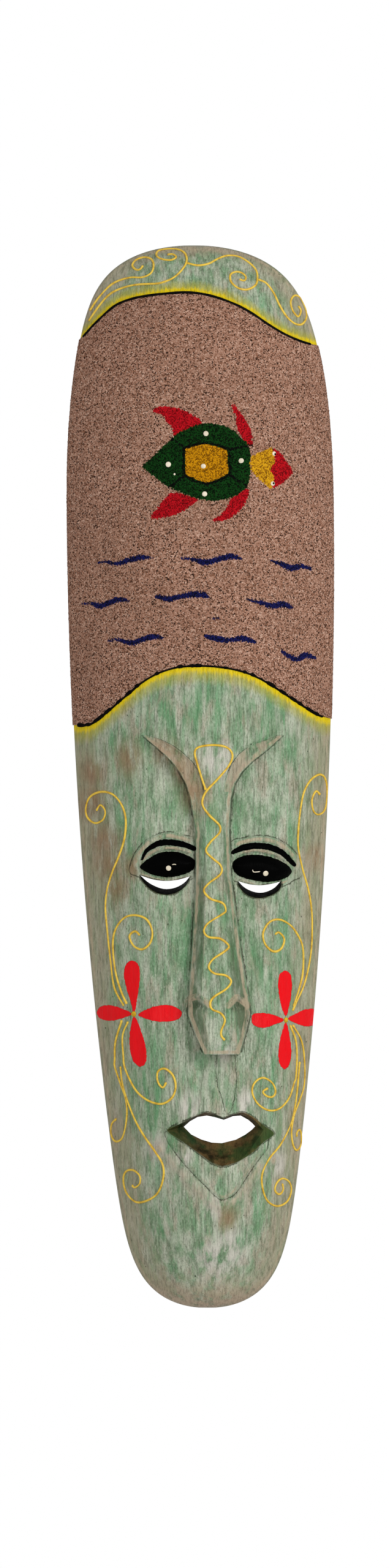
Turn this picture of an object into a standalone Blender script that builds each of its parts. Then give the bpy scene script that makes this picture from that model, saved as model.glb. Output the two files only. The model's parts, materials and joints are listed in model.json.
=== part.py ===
"""A carved wooden wall mask: one block of wood, about half a metre long.

The front is a long bowed shell with a high smooth forehead. Low down it has
a carved face: winged brows, a long flat nose, almond eyes with lids over
narrow slits, and an open mouth. The back is hollowed, with a flat rim that
rests on the wall, and a nail hole is sunk in the thick top end.

The mask hangs upright: X runs to the right, seen from the front, +Y points
into the wall and +Z up. The origin is the mouth of the nail hole.
Sizes are in metres. The carving keeps its place as shares: a height is a
share of the mask's length above the chin, and a place across is a share of
half the width there, from -1 at the left edge to 1 at the right.
"""

from math import cos, pi, radians, sin

import bmesh
import bpy
from mathutils import Matrix, Vector

# Driving sizes
LENGTH = 0.500
WIDTH = 0.1247
EDGE_THICKNESS = 0.009
BOW = 0.033
NOSE_RISE = 0.0105
SOCKET_DROP = 0.0050
BROW_CREST = 0.0018
LID_THICKNESS = 0.0032
EYE_RISE = 0.0042
LIP_GROOVE_WIDTH = 0.0022

# Hollow and nail hole
WALL = 0.0110
RIM = 0.0100
TOP_LAND = 0.046
CHIN_LAND = 0.036
NAIL_HOLE_DIAMETER = 0.008
NAIL_HOLE_DEPTH = 0.014
NAIL_HOLE_BELOW_TOP = 0.024
HOLLOW_SIDE_POWER = 7.0
HOLLOW_END_POWER = 0.35
HOLLOW_END_WIDTH = 0.30
HOLLOW_WIDTH_POWER = 0.55

# Outline of the front, as shares
WIDEST_AT = 0.741
CROWN_TAPER = 0.321
CROWN_TAPER_POWER = 2.6
CROWN_ROUNDING = 12.0
CHIN_TAPER = 0.447
CHIN_TAPER_POWER = 1.98
CHIN_ROUNDING = 27.6
END_ROUNDNESS = 2.1
END_FLAT = 0.9985
LEAN = 0.0045
CROWN_SET = 0.0020
CROWN_SET_FROM = 0.85

# Bow along the length: share of length, share of BOW on the middle line
BOW_ALONG = ((0.0, 0.80), (0.10, 0.93), (0.25, 0.97), (0.42, 1.00),
             (0.54, 1.08), (0.70, 1.04), (0.86, 0.96), (1.0, 0.84))
CROSS_POWER = 2.15
CROWN_ROLL = 7.0
CHIN_ROLL = 11.0
ROLL_SPAN = 0.45

# Lines that the carved edges follow. Each row: share of length, then the
# outer and inner line of the left brow and nose side, and of the right.
CARVED_LINES = (
    (1.0000, -0.500, -0.300, 0.300, 0.500),
    (0.7500, -0.500, -0.300, 0.300, 0.500),
    (0.6000, -0.480, -0.380, 0.470, 0.580),
    (0.5398, -0.466, -0.450, 0.618, 0.631),
    (0.5346, -0.425, -0.320, 0.500, 0.590),
    (0.5289, -0.370, -0.225, 0.375, 0.540),
    (0.5219, -0.305, -0.150, 0.290, 0.470),
    (0.5133, -0.235, -0.075, 0.235, 0.380),
    (0.5035, -0.175, -0.025, 0.195, 0.300),
    (0.4931, -0.130, 0.000, 0.170, 0.250),
    (0.4786, -0.095, 0.012, 0.156, 0.218),
    (0.4498, -0.056, 0.018, 0.150, 0.205),
    (0.4065, -0.062, 0.020, 0.150, 0.222),
    (0.3776, -0.076, 0.013, 0.165, 0.259),
    (0.3326, -0.104, -0.007, 0.208, 0.319),
    (0.2939, -0.140, -0.028, 0.249, 0.388),
    (0.2766, -0.148, -0.020, 0.268, 0.408),
    (0.2569, -0.080, 0.027, 0.288, 0.365),
    (0.2402, -0.005, 0.036, 0.300, 0.322),
    (0.1700, -0.350, -0.100, 0.400, 0.640),
    (0.0000, -0.500, -0.300, 0.300, 0.500),
)

# Heights along the face, as shares of SOCKET_DROP, NOSE_RISE and BROW_CREST
SOCKET_ALONG = ((0.150, 0.0), (0.200, 0.15), (0.260, 0.45), (0.330, 0.65),
                (0.380, 0.85), (0.440, 1.0), (0.480, 1.0), (0.510, 0.72),
                (0.530, 0.30), (0.5398, 0.0))
NOSE_ALONG = ((0.2402, 0.93), (0.257, 1.0), (0.290, 0.86), (0.330, 0.60),
              (0.380, 0.32), (0.440, 0.10), (0.480, 0.02), (0.510, 0.05),
              (0.5398, 0.0))
NOSE_SIDE_ALONG = ((0.2402, 0.86), (0.257, 0.52), (0.277, 0.34), (0.295, 0.24),
                   (0.330, 0.06), (0.380, -0.12), (0.440, -0.20),
                   (0.470, -0.12), (0.490, 0.0), (0.5398, 0.0))
CREST_ALONG = ((0.480, 0.0), (0.500, 0.7), (0.520, 1.0), (0.535, 0.6),
               (0.5398, 0.0))
SOCKET_OUTER = (-0.56, 0.70)
NOSE_BASE = 0.2402
NOSE_BASE_STEP = 0.0024
BROW_TOP = 0.5398
CUT_WALL = 0.0007

# Philtrum and chin, each: share across, share of length, half-widths, height
PHILTRUM_AT = 0.205
PHILTRUM_HALF_WIDTH = 0.0042
PHILTRUM_DEPTH = 0.0010
PHILTRUM_BOTTOM = 0.186
PHILTRUM_END_SPAN = 0.0167
CHIN_AT = (0.06, 0.066)
CHIN_HALF = (0.024, 0.017)
CHIN_RISE = 0.0022

# Nostrils, each: share across, share of length
NOSTRILS = {"left": (-0.045, 0.2800), "right": (0.310, 0.2800)}
NOSTRIL_HALF_WIDTH = 0.0046
NOSTRIL_HALF_HEIGHT = 0.0072
NOSTRIL_CUT = 0.0030
NOSTRIL_LEAN = 20.0
NOSTRIL_ON_SIDE = 0.6

# Eyes, each: share across, share of length, tilt in degrees
EYES = {"left": (-0.296, 0.4165, 3.0), "right": (0.493, 0.4100, -4.0)}
EYE_HALF_WIDTH = 0.0132
EYE_HALF_HEIGHT = 0.0060
LID_RISE = 0.0068
OUTER_LID_RISE = 0.0128
LID_REACH = 1.06
LID_ARCH_POWER = 2.2
LID_STEPS = 8
SLIT_HALF_WIDTH = 0.0113
SLIT_BELOW_EYE = 0.0060
SLIT_SAG = 0.0024
SLIT_OPENING = 0.0042
SLIT_STEPS = 8

# Mouth, as places from its middle, in metres
MOUTH_AT = (0.144, 0.168)
MOUTH_INNER = ((-0.0168, 0.0016), (-0.0110, 0.0048), (-0.0060, 0.0062),
               (-0.0018, 0.0054), (0.0018, 0.0044), (0.0056, 0.0054),
               (0.0094, 0.0062), (0.0134, 0.0046), (0.0170, 0.0012),
               (0.0130, -0.0024), (0.0082, -0.0048), (0.0002, -0.0066),
               (-0.0070, -0.0050), (-0.0128, -0.0022))
MOUTH_OUTER = ((-0.0250, 0.0002), (-0.0145, 0.0046), (-0.0060, 0.0082),
               (-0.0018, 0.0074), (0.0022, 0.0056), (0.0062, 0.0074),
               (0.0114, 0.0090), (0.0176, 0.0062), (0.0256, -0.0024),
               (0.0186, -0.0080), (0.0100, -0.0138), (0.0006, -0.0170),
               (-0.0070, -0.0142), (-0.0144, -0.0076))

# Line under the lower lip, as places from the mouth's middle
LIP_LINE = ((-0.0232, -0.0066), (-0.0182, -0.0155), (-0.0112, -0.0232),
            (-0.0042, -0.0310), (0.0012, -0.0330), (0.0074, -0.0306),
            (0.0120, -0.0240), (0.0174, -0.0155), (0.0204, -0.0117))

# How finely the front is divided
COLUMNS_OUTSIDE = 9
COLUMNS_BROW = 2
COLUMNS_NOSE = 5
COLUMN_CROWDING = 1.15
ROW_BANDS = ((0.0600, 0.2355, 17), (0.2402, 0.3000, 8), (0.3000, 0.4800, 17),
             (0.4800, 0.5398, 14), (0.5398, 0.9300, 25))
END_ROWS = 9
END_ROW_CROWDING = 1.8
HOLLOW_COLUMNS = 12
HOLLOW_ROWS = 26
PAST = 0.004


def slope_at(table, index):
    """Slope of the smooth curve at one of its points, level at the two ends."""
    if index in (0, len(table) - 1):
        return 0.0
    before = table[index - 1]
    after = table[index + 1]
    return (after[1] - before[1]) / (after[0] - before[0])


def read_along(table, share):
    """Read a smooth curve through (share, value) pairs, flat beyond its ends."""
    share = min(max(share, table[0][0]), table[-1][0])
    index = 0
    while share > table[index + 1][0]:
        index += 1
    low, value = table[index]
    high, next_value = table[index + 1]
    span = high - low
    part = (share - low) / span
    rest = 1 - part
    start = value + part * (slope_at(table, index) * span + 2 * value)
    end = next_value + rest * (2 * next_value - slope_at(table, index + 1) * span)
    return rest * rest * start + part * part * end


def read_line(column, share):
    """Read one of the carved lines at a share of the length."""
    rows = [(row[0], row[column]) for row in reversed(CARVED_LINES)]
    for (low, value), (high, next_value) in zip(rows, rows[1:]):
        if share <= high:
            return value + (next_value - value) * (share - low) / (high - low)
    return rows[-1][1]


def height_of(share):
    """World height of a share of the length above the chin."""
    return NAIL_HOLE_BELOW_TOP - (1 - share) * LENGTH


def share_of(height):
    """Share of the length at a world height."""
    return 1 - (NAIL_HOLE_BELOW_TOP - height) / LENGTH


def half_width(share):
    """Half the mask's width at a share of the length."""
    if share >= WIDEST_AT:
        away = (share - WIDEST_AT) / (1 - WIDEST_AT)
        taper = CROWN_TAPER * away ** CROWN_TAPER_POWER
        rounding = CROWN_ROUNDING
    else:
        away = (WIDEST_AT - share) / WIDEST_AT
        taper = CHIN_TAPER * away ** CHIN_TAPER_POWER
        rounding = CHIN_ROUNDING
    away = min(away, END_FLAT)
    return WIDTH / 2 * (1 - taper) * (1 - away ** rounding) ** (1 / END_ROUNDNESS)


def middle(share):
    """The middle line leans a little: the block was sawn by hand."""
    crown = max(0.0, (share - CROWN_SET_FROM) / (1 - CROWN_SET_FROM))
    return LEAN * (WIDEST_AT - share) - CROWN_SET * crown * crown


def across_of(x, share):
    """Share across the mask of a place x at a share of the length."""
    return (x - middle(share)) / half_width(share)


def x_of(across, share):
    """Place across the mask of a share of half its width."""
    return middle(share) + across * half_width(share)


def end_roll(share):
    """How the bow rolls off to nothing at the crown and at the chin."""
    crown = max(0.0, (share - 1 + ROLL_SPAN) / ROLL_SPAN)
    chin = max(0.0, (ROLL_SPAN - share) / ROLL_SPAN)
    return (1 - crown ** CROWN_ROLL) ** 0.5 * (1 - chin ** CHIN_ROLL) ** 0.5


def bow_depth(across, share):
    """Depth of the plain bowed shell in front of the wall."""
    cross = max(0.0, 1 - abs(across) ** CROSS_POWER)
    return EDGE_THICKNESS + BOW * read_along(BOW_ALONG, share) * end_roll(share) * cross


def ease(value):
    """A soft step from 0 to 1."""
    value = min(1.0, max(0.0, value))
    return value * value * (3 - 2 * value)


def bump(value):
    """A soft hump: 1 at zero and nothing from one on."""
    return ease(1 - abs(value))


def socket_depth(across, share):
    """How far the eye socket and cheek lie below the plain shell."""
    inner_left = read_line(1, share)
    inner_right = read_line(4, share)
    if across < inner_left:
        fade = 1 - ease((inner_left - across) / (inner_left - SOCKET_OUTER[0]))
    elif across > inner_right:
        fade = 1 - ease((across - inner_right) / (SOCKET_OUTER[1] - inner_right))
    else:
        fade = 1.0
    return SOCKET_DROP * read_along(SOCKET_ALONG, share) * fade


def soft_relief(across, share):
    """The philtrum and the chin, which have no hard edges."""
    x = x_of(across, share)
    beside = (x - x_of(PHILTRUM_AT, share)) / PHILTRUM_HALF_WIDTH
    along = ease((NOSE_BASE - share) / PHILTRUM_END_SPAN)
    along *= ease((share - PHILTRUM_BOTTOM) / PHILTRUM_END_SPAN)
    chin_x = (x - x_of(CHIN_AT[0], share)) / CHIN_HALF[0]
    chin_z = (share - CHIN_AT[1]) * LENGTH / CHIN_HALF[1]
    return CHIN_RISE * bump(chin_x) * bump(chin_z) - PHILTRUM_DEPTH * bump(beside) * along


def face_depth(across, share):
    """Depth of the front outside the nose and the brows."""
    depth = bow_depth(across, share) + soft_relief(across, share)
    if share < BROW_TOP:
        depth -= socket_depth(across, share)
    return depth


def nose_depth(across, share, edge):
    """Depth at the nose and brows: edge is 0 at their outer line, 1 on top."""
    side = read_along(NOSE_SIDE_ALONG, share) * NOSE_RISE
    side += read_along(CREST_ALONG, share) * BROW_CREST
    top = read_along(NOSE_ALONG, share) * NOSE_RISE
    return bow_depth(across, share) + side + (top - side) * edge


def row_shares():
    """Shares of the length where the front's rows lie, from chin to crown."""
    shares = []
    for step in range(END_ROWS):
        shares.append(ROW_BANDS[0][0] * (step / END_ROWS) ** END_ROW_CROWDING)
    for low, high, count in ROW_BANDS:
        for step in range(count):
            shares.append(low + (high - low) * step / count)
        if high < NOSE_BASE:
            shares.append(NOSE_BASE - NOSE_BASE_STEP)
    top = ROW_BANDS[-1][1]
    for step in range(END_ROWS + 1):
        shares.append(1 - (1 - top) * (1 - step / END_ROWS) ** END_ROW_CROWDING)
    return shares


def row_places(share):
    """Places across one row, each with how it sits on the nose, or None."""
    wall = CUT_WALL / half_width(share)
    outer_left, inner_left, inner_right, outer_right = (
        read_line(column, share) for column in (1, 2, 3, 4))
    places = []
    for step in range(COLUMNS_OUTSIDE + 1):
        part = 1 - (1 - step / COLUMNS_OUTSIDE) ** COLUMN_CROWDING
        places.append((-1 + (outer_left - wall + 1) * part, None))
    for step in range(COLUMNS_BROW):
        part = step / COLUMNS_BROW
        places.append((outer_left + (inner_left - outer_left) * part, part))
    for step in range(COLUMNS_NOSE + 1):
        part = step / COLUMNS_NOSE
        places.append((inner_left + (inner_right - inner_left) * part, 1.0))
    for step in range(1, COLUMNS_BROW + 1):
        part = step / COLUMNS_BROW
        places.append((inner_right + (outer_right - inner_right) * part, 1 - part))
    for step in range(COLUMNS_OUTSIDE + 1):
        part = (step / COLUMNS_OUTSIDE) ** COLUMN_CROWDING
        places.append((outer_right + wall + (1 - outer_right - wall) * part, None))
    return places


def add_object(name, mesh, collection):
    """Put a mesh in the scene as an object of its own."""
    thing = bpy.data.objects.new(name, mesh)
    collection.objects.link(thing)
    return thing


def grid_solid(name, rows, collection, back):
    """Close a sheet of points, given row by row, with walls down to y = back."""
    bm = bmesh.new()
    bmesh.ops.create_grid(bm, x_segments=len(rows[0]) - 1, y_segments=len(rows) - 1)
    bm.verts.ensure_lookup_table()
    points = [point for row in rows for point in row]
    for vert, point in zip(bm.verts, points):
        vert.co = point
    border = [edge for edge in bm.edges if edge.is_boundary]
    made = bmesh.ops.extrude_edge_only(bm, edges=border)["geom"]
    for vert in made:
        if isinstance(vert, bmesh.types.BMVert):
            vert.co.y = back
    rim = [edge for edge in bm.edges if edge.is_boundary]
    bmesh.ops.contextual_create(bm, geom=rim)
    bmesh.ops.recalc_face_normals(bm, faces=bm.faces)
    mesh = bpy.data.meshes.new(name)
    bm.to_mesh(mesh)
    bm.free()
    return add_object(name, mesh, collection)


def front_rows():
    """Points of the carved front, row by row from chin to crown."""
    rows = []
    for share in row_shares():
        on_nose = NOSE_BASE <= share < BROW_TOP
        row = []
        for across, edge in row_places(share):
            if edge is None or not on_nose:
                depth = face_depth(across, share)
            else:
                depth = nose_depth(across, share, edge)
            row.append(Vector((x_of(across, share), -depth, height_of(share))))
        rows.append(row)
    return rows


def hollow_rows():
    """Points of the hollow's inner surface, which keeps WALL behind the shell."""
    low = CHIN_LAND / LENGTH
    high = 1 - TOP_LAND / LENGTH
    rows = []
    for row_step in range(HOLLOW_ROWS + 1):
        angle = pi * row_step / HOLLOW_ROWS
        swell = max(0.0, sin(angle))
        share = low + (high - low) * (1 - cos(angle)) / 2
        opening = HOLLOW_END_WIDTH + (1 - HOLLOW_END_WIDTH) * swell ** HOLLOW_WIDTH_POWER
        room = (half_width(share) - RIM) * opening
        row = []
        for step in range(HOLLOW_COLUMNS + 1):
            place = max(-1.0, -cos(pi * step / HOLLOW_COLUMNS))
            x = middle(share) + room * place
            deep = bow_depth(across_of(x, share), share) - WALL
            deep *= (1 - abs(place) ** HOLLOW_SIDE_POWER) ** 0.5 * swell ** HOLLOW_END_POWER
            row.append(Vector((x, -deep, height_of(share))))
        rows.append(row)
    return rows


def front_at(x, z):
    """The point of the carved face at a place, outside the nose and brows."""
    share = share_of(z)
    return Vector((x, -face_depth(across_of(x, share), share), z))


def swept(name, points, radius, collection):
    """A round bar along points, as a mesh whose ends are closed."""
    curve = bpy.data.curves.new(name, "CURVE")
    curve.dimensions = "3D"
    curve.bevel_depth = radius
    curve.bevel_resolution = 1
    curve.use_fill_caps = True
    spline = curve.splines.new("POLY")
    spline.points.add(len(points) - 1)
    for place, point in zip(spline.points, points):
        place.co = (*point, 1.0)
    bar = bpy.data.objects.new(name, curve)
    collection.objects.link(bar)
    mesh = bpy.data.meshes.new_from_object(
        bar.evaluated_get(bpy.context.evaluated_depsgraph_get()))
    mesh.name = name
    bm = bmesh.new()
    bm.from_mesh(mesh)
    bmesh.ops.remove_doubles(bm, verts=bm.verts, dist=0.00001)
    bmesh.ops.recalc_face_normals(bm, faces=bm.faces)
    bm.to_mesh(mesh)
    bm.free()
    bpy.data.objects.remove(bar)
    return add_object(name, mesh, collection)


def eye_frame(side):
    """Middle of an eye on the face, and its tilt."""
    across, share, tilt = EYES[side]
    return front_at(x_of(across, share), height_of(share)), radians(tilt)


def eye_point(side, right, up, stand=0.0):
    """A point on the face, given along the eye's own tilted axes."""
    centre, tilt = eye_frame(side)
    x = centre.x + right * cos(tilt) - up * sin(tilt)
    z = centre.z + right * sin(tilt) + up * cos(tilt)
    point = front_at(x, z)
    point.y -= stand
    return point


def add_ball(name, centre, turn, half_sizes, collection):
    """A ball squeezed to three half sizes, turned and set at a place."""
    bm = bmesh.new()
    bmesh.ops.create_uvsphere(bm, u_segments=16, v_segments=10, radius=1.0)
    size = Matrix.Diagonal((*half_sizes, 1.0))
    bmesh.ops.transform(bm, matrix=Matrix.Translation(centre) @ turn @ size, verts=bm.verts)
    mesh = bpy.data.meshes.new(name)
    bm.to_mesh(mesh)
    bm.free()
    return add_object(name, mesh, collection)


def add_eye(side, collection):
    """The eyeball: a flattened ball that swells out of its socket."""
    centre, tilt = eye_frame(side)
    turn = Matrix.Rotation(-tilt, 4, "Y")
    half_sizes = (EYE_HALF_WIDTH, EYE_RISE, EYE_HALF_HEIGHT)
    return add_ball("eye_" + side, centre, turn, half_sizes, collection)


def add_nostril_cutter(side, collection):
    """A nostril: a scoop in the front of the nose, deepest under its arched top."""
    across, share = NOSTRILS[side]
    depth = nose_depth(across, share, NOSTRIL_ON_SIDE)
    centre = Vector((x_of(across, share), -depth, height_of(share)))
    turn = Matrix.Rotation(radians(NOSTRIL_LEAN), 4, "X")
    half_sizes = (NOSTRIL_HALF_WIDTH, NOSTRIL_CUT, NOSTRIL_HALF_HEIGHT)
    return add_ball("nostril_" + side, centre, turn, half_sizes, collection)


def add_lid(side, name, rise, collection):
    """A lid: a bar that arches over the eye from corner to corner."""
    reach = EYE_HALF_WIDTH * LID_REACH
    points = []
    for step in range(LID_STEPS + 1):
        part = -1 + 2 * step / LID_STEPS
        up = rise * (1 - abs(part) ** LID_ARCH_POWER)
        points.append(eye_point(side, reach * part, up))
    return swept(name + "_" + side, points, LID_THICKNESS / 2, collection)


def prism(name, rings, collection):
    """Join rings of points, front to back, into a closed solid."""
    bm = bmesh.new()
    loops = [[bm.verts.new(point) for point in ring] for ring in rings]
    for ring, after in zip(loops, loops[1:]):
        for step in range(len(ring)):
            other = (step + 1) % len(ring)
            bm.faces.new((ring[step], ring[other], after[other], after[step]))
    bm.faces.new(loops[0])
    bm.faces.new(reversed(loops[-1]))
    bmesh.ops.recalc_face_normals(bm, faces=bm.faces)
    mesh = bpy.data.meshes.new(name)
    bm.to_mesh(mesh)
    bm.free()
    return add_object(name, mesh, collection)


def add_slit_cutter(side, collection):
    """The narrow crescent below an eye, cut right through to the hollow."""
    outline = []
    for step in range(SLIT_STEPS + 1):
        part = -1 + 2 * step / SLIT_STEPS
        sag = SLIT_SAG * (1 - part * part)
        outline.append((SLIT_HALF_WIDTH * part, -SLIT_BELOW_EYE - sag))
    for step in range(1, SLIT_STEPS):
        part = 1 - 2 * step / SLIT_STEPS
        sag = (SLIT_SAG + SLIT_OPENING) * (1 - part * part)
        outline.append((SLIT_HALF_WIDTH * part, -SLIT_BELOW_EYE - sag))
    front = []
    back = []
    for right, up in outline:
        point = eye_point(side, right, up)
        front.append(Vector((point.x, point.y - PAST, point.z)))
        back.append(Vector((point.x, -EDGE_THICKNESS, point.z)))
    return prism("slit_" + side, (front, back), collection)


def mouth_place(place, depth):
    """A point of the mouth, from places given about its middle."""
    across, share = MOUTH_AT
    x = x_of(across, share) + place[0]
    return Vector((x, -depth, height_of(share) + place[1]))


def add_mouth_cutter(collection):
    """The open mouth: wide at the lips, narrowing to the hollow behind."""
    across, share = MOUTH_AT
    lips = bow_depth(across, share)
    behind = lips - WALL
    wide = [mouth_place(place, lips + PAST) for place in MOUTH_OUTER]
    lip_edge = [mouth_place(place, lips) for place in MOUTH_OUTER]
    throat = [mouth_place(place, behind) for place in MOUTH_INNER]
    back = [mouth_place(place, EDGE_THICKNESS) for place in MOUTH_INNER]
    return prism("mouth_opening", (wide, lip_edge, throat, back), collection)


def add_lip_groove(collection):
    """The cut line that sets the lower lip off from the chin."""
    points = []
    for place in LIP_LINE:
        flat = mouth_place(place, 0.0)
        points.append(front_at(flat.x, flat.z))
    return swept("lip_groove", points, LIP_GROOVE_WIDTH / 2, collection)


def add_nail_hole(collection):
    """A blind hole in the back of the top end, level with the wall."""
    bm = bmesh.new()
    bmesh.ops.create_cone(
        bm, cap_ends=True, segments=24, radius1=NAIL_HOLE_DIAMETER / 2,
        radius2=NAIL_HOLE_DIAMETER / 2, depth=NAIL_HOLE_DEPTH + PAST)
    turn = Matrix.Rotation(radians(90), 4, "X")
    shift = Matrix.Translation((0.0, (PAST - NAIL_HOLE_DEPTH) / 2, 0.0))
    bmesh.ops.transform(bm, matrix=shift @ turn, verts=bm.verts)
    mesh = bpy.data.meshes.new("nail_hole")
    bm.to_mesh(mesh)
    bm.free()
    return add_object("nail_hole", mesh, collection)


def combine(target, tool, operation):
    """Join a shape to the mask or cut it out, and keep the tool as a guide."""
    step = target.modifiers.new(tool.name, "BOOLEAN")
    step.operation = operation
    step.solver = "EXACT"
    step.object = tool
    tool.hide_render = True
    tool.display_type = "WIRE"


def wood_material():
    """Pale wood under a washed sage-green paint."""
    material = bpy.data.materials.new("painted_wood")
    material.use_nodes = True
    shader = material.node_tree.nodes["Principled BSDF"]
    shader.inputs["Base Color"].default_value = (0.27, 0.33, 0.22, 1.0)
    shader.inputs["Roughness"].default_value = 0.5
    shader.inputs["Metallic"].default_value = 0.0
    return material


def clear_scene():
    """Remove the objects that a new file starts with."""
    for thing in list(bpy.data.objects):
        bpy.data.objects.remove(thing)


def build_mask():
    """Carve the mask: the bowed front, then the face, the hollow and the holes."""
    parts = bpy.data.collections.new("wooden_wall_mask")
    guides = bpy.data.collections.new("cutters_and_guides")
    bpy.context.scene.collection.children.link(parts)
    bpy.context.scene.collection.children.link(guides)

    mask = grid_solid("carved_mask", front_rows(), parts, 0.0)
    for side in EYES:
        combine(mask, add_lid(side, "outer_lid", OUTER_LID_RISE, guides), "UNION")
        combine(mask, add_lid(side, "lid", LID_RISE, guides), "UNION")
        combine(mask, add_eye(side, guides), "UNION")
        combine(mask, add_slit_cutter(side, guides), "DIFFERENCE")
        combine(mask, add_nostril_cutter(side, guides), "DIFFERENCE")
    combine(mask, add_lip_groove(guides), "DIFFERENCE")
    combine(mask, add_mouth_cutter(guides), "DIFFERENCE")
    combine(mask, grid_solid("hollow", hollow_rows(), guides, PAST), "DIFFERENCE")
    combine(mask, add_nail_hole(guides), "DIFFERENCE")

    mask.data.materials.append(wood_material())
    mask.data.shade_smooth()
    mask.data.set_sharp_from_angle(angle=radians(35))


clear_scene()
build_mask()
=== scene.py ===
# %% [markdown]
# # A painted wooden wall mask
#
# The real mask is one block of light wood, about half a metre long. A carver cuts a long
# face with a high forehead, hollows the back, and hangs it from a nail hole. A painter
# washes it with sage green, coats the forehead with sand, and draws on it with raised
# yellow paste. This lesson starts from the plain solid mask and gives it its real finish.
#
# We load that solid first, into an emptied scene. It is a fixed frame: the dressed mask
# has to keep its size, so its box is measured now and compared again at the end.

# %% Load the solid mask
import bpy
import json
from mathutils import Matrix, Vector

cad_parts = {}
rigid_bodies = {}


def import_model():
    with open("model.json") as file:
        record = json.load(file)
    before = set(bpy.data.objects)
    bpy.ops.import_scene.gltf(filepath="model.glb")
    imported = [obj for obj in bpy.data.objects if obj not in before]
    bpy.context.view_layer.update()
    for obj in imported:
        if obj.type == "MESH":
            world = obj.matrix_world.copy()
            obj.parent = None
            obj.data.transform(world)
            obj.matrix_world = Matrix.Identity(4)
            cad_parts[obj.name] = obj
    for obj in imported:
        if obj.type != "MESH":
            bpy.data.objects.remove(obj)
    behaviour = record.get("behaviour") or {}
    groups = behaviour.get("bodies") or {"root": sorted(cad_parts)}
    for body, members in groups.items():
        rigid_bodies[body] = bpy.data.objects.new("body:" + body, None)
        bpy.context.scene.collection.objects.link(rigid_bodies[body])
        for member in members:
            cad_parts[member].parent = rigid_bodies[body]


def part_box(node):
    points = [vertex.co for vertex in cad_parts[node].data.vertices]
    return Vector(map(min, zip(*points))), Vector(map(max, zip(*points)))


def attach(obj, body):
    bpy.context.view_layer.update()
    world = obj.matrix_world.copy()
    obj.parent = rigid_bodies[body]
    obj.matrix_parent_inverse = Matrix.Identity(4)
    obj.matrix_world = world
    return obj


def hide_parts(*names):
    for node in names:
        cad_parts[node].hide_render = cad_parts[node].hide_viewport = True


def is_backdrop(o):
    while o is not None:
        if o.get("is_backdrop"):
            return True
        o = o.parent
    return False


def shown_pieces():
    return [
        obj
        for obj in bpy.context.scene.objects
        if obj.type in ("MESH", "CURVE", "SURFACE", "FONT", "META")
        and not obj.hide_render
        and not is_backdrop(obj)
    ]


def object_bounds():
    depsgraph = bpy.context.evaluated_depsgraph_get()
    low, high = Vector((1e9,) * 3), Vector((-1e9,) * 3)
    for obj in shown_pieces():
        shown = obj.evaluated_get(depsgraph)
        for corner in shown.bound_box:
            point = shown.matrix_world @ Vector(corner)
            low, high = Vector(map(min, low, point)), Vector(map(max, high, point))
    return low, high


for leftover in list(bpy.data.objects):
    bpy.data.objects.remove(leftover)
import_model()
solid_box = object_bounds()
print("solid mask, lowest and highest corner:", [[round(v, 4) for v in c] for c in solid_box])

# %% [markdown]
# # Sizes and places
#
# A carver measures from the middle of the chin, so we do the same: a place on the front
# is given as millimetres to the right and millimetres up. Blender works in metres, and
# its Z axis points up. The front of the mask faces along minus Y, so the depth of the
# wood in front of the wall is minus y.
#
# Some things follow the outline better than a ruler. For these a height is a share of
# the mask's length, and a place across is a share of half its width, from -1 to 1.

# %% Sizes shared by every piece
import bmesh
import numpy as np

MASK = "carved_mask"
MM = 0.001
chin_corner, crown_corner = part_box(MASK)
CHIN = chin_corner.z
LENGTH = crown_corner.z - chin_corner.z
WIDTH = 0.1247
EDGE_THICKNESS = 0.009
BOW = 0.033
NOSE_RISE = 0.0105
SOCKET_DROP = 0.0050
BROW_CREST = 0.0018
WALL = 0.0110
print(f"mask length {LENGTH:.3f} m, chin at z = {CHIN:.3f} m")

# %% [markdown]
# # The outline
#
# The mask is widest above its middle and narrows to a rounded chin. The outline could be
# a drawn curve with many points. We use one formula for each half instead: a width that
# tapers away from the widest place, times a rounding for the end. A formula gives as many
# rows as we like, and they all lie on the same smooth line.
#
# The block was sawn by hand, so its middle line leans a little.

# %% Outline of the front
WIDEST_AT = 0.741
CROWN_TAPER = (0.321, 2.6, 12.0)
CHIN_TAPER = (0.447, 1.98, 27.6)
END_ROUNDNESS = 2.1
END_FLAT = 0.9997
LEAN = 0.0045
CROWN_SET = 0.0020
CROWN_SET_FROM = 0.85


def half_width(share):
    """Half the mask's width at a share of its length."""
    above = share >= WIDEST_AT
    away = np.where(above, (share - WIDEST_AT) / (1 - WIDEST_AT), (WIDEST_AT - share) / WIDEST_AT)
    away = np.clip(away, 0.0, 1.0) * END_FLAT
    taper, power, rounding = (np.where(above, crown, chin)
                              for crown, chin in zip(CROWN_TAPER, CHIN_TAPER))
    return WIDTH / 2 * (1 - taper * away ** power) * (1 - away ** rounding) ** (1 / END_ROUNDNESS)


def middle(share):
    """Place across of the mask's leaning middle line."""
    crown = np.maximum(0.0, (share - CROWN_SET_FROM) / (1 - CROWN_SET_FROM))
    return LEAN * (WIDEST_AT - share) - CROWN_SET * crown * crown


def share_of(z):
    """Share of the length at a height."""
    return (z - CHIN) / LENGTH


def across_of(x, z):
    """Share across the mask at a place."""
    share = np.clip(share_of(z), 0.0, 1.0)
    return (x - middle(share)) / half_width(share)


widths = half_width(np.linspace(0, 1, 201))
print(f"widest {2000 * widths.max():.1f} mm")

# %% [markdown]
# # The depth of the wood
#
# Seen from the side, the front is a long bow that rolls off at both ends. Across, it is
# a flat arch. On top of this shell come the sunken eye sockets and the raised nose.
# Each of these is a height that changes along the length, so a small table of heights
# and a smooth curve through it describe it well.
#
# Sculpting by hand would be quicker, but numbers can be repeated exactly, and here they
# have to agree with the solid that the mask was made from.

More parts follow.
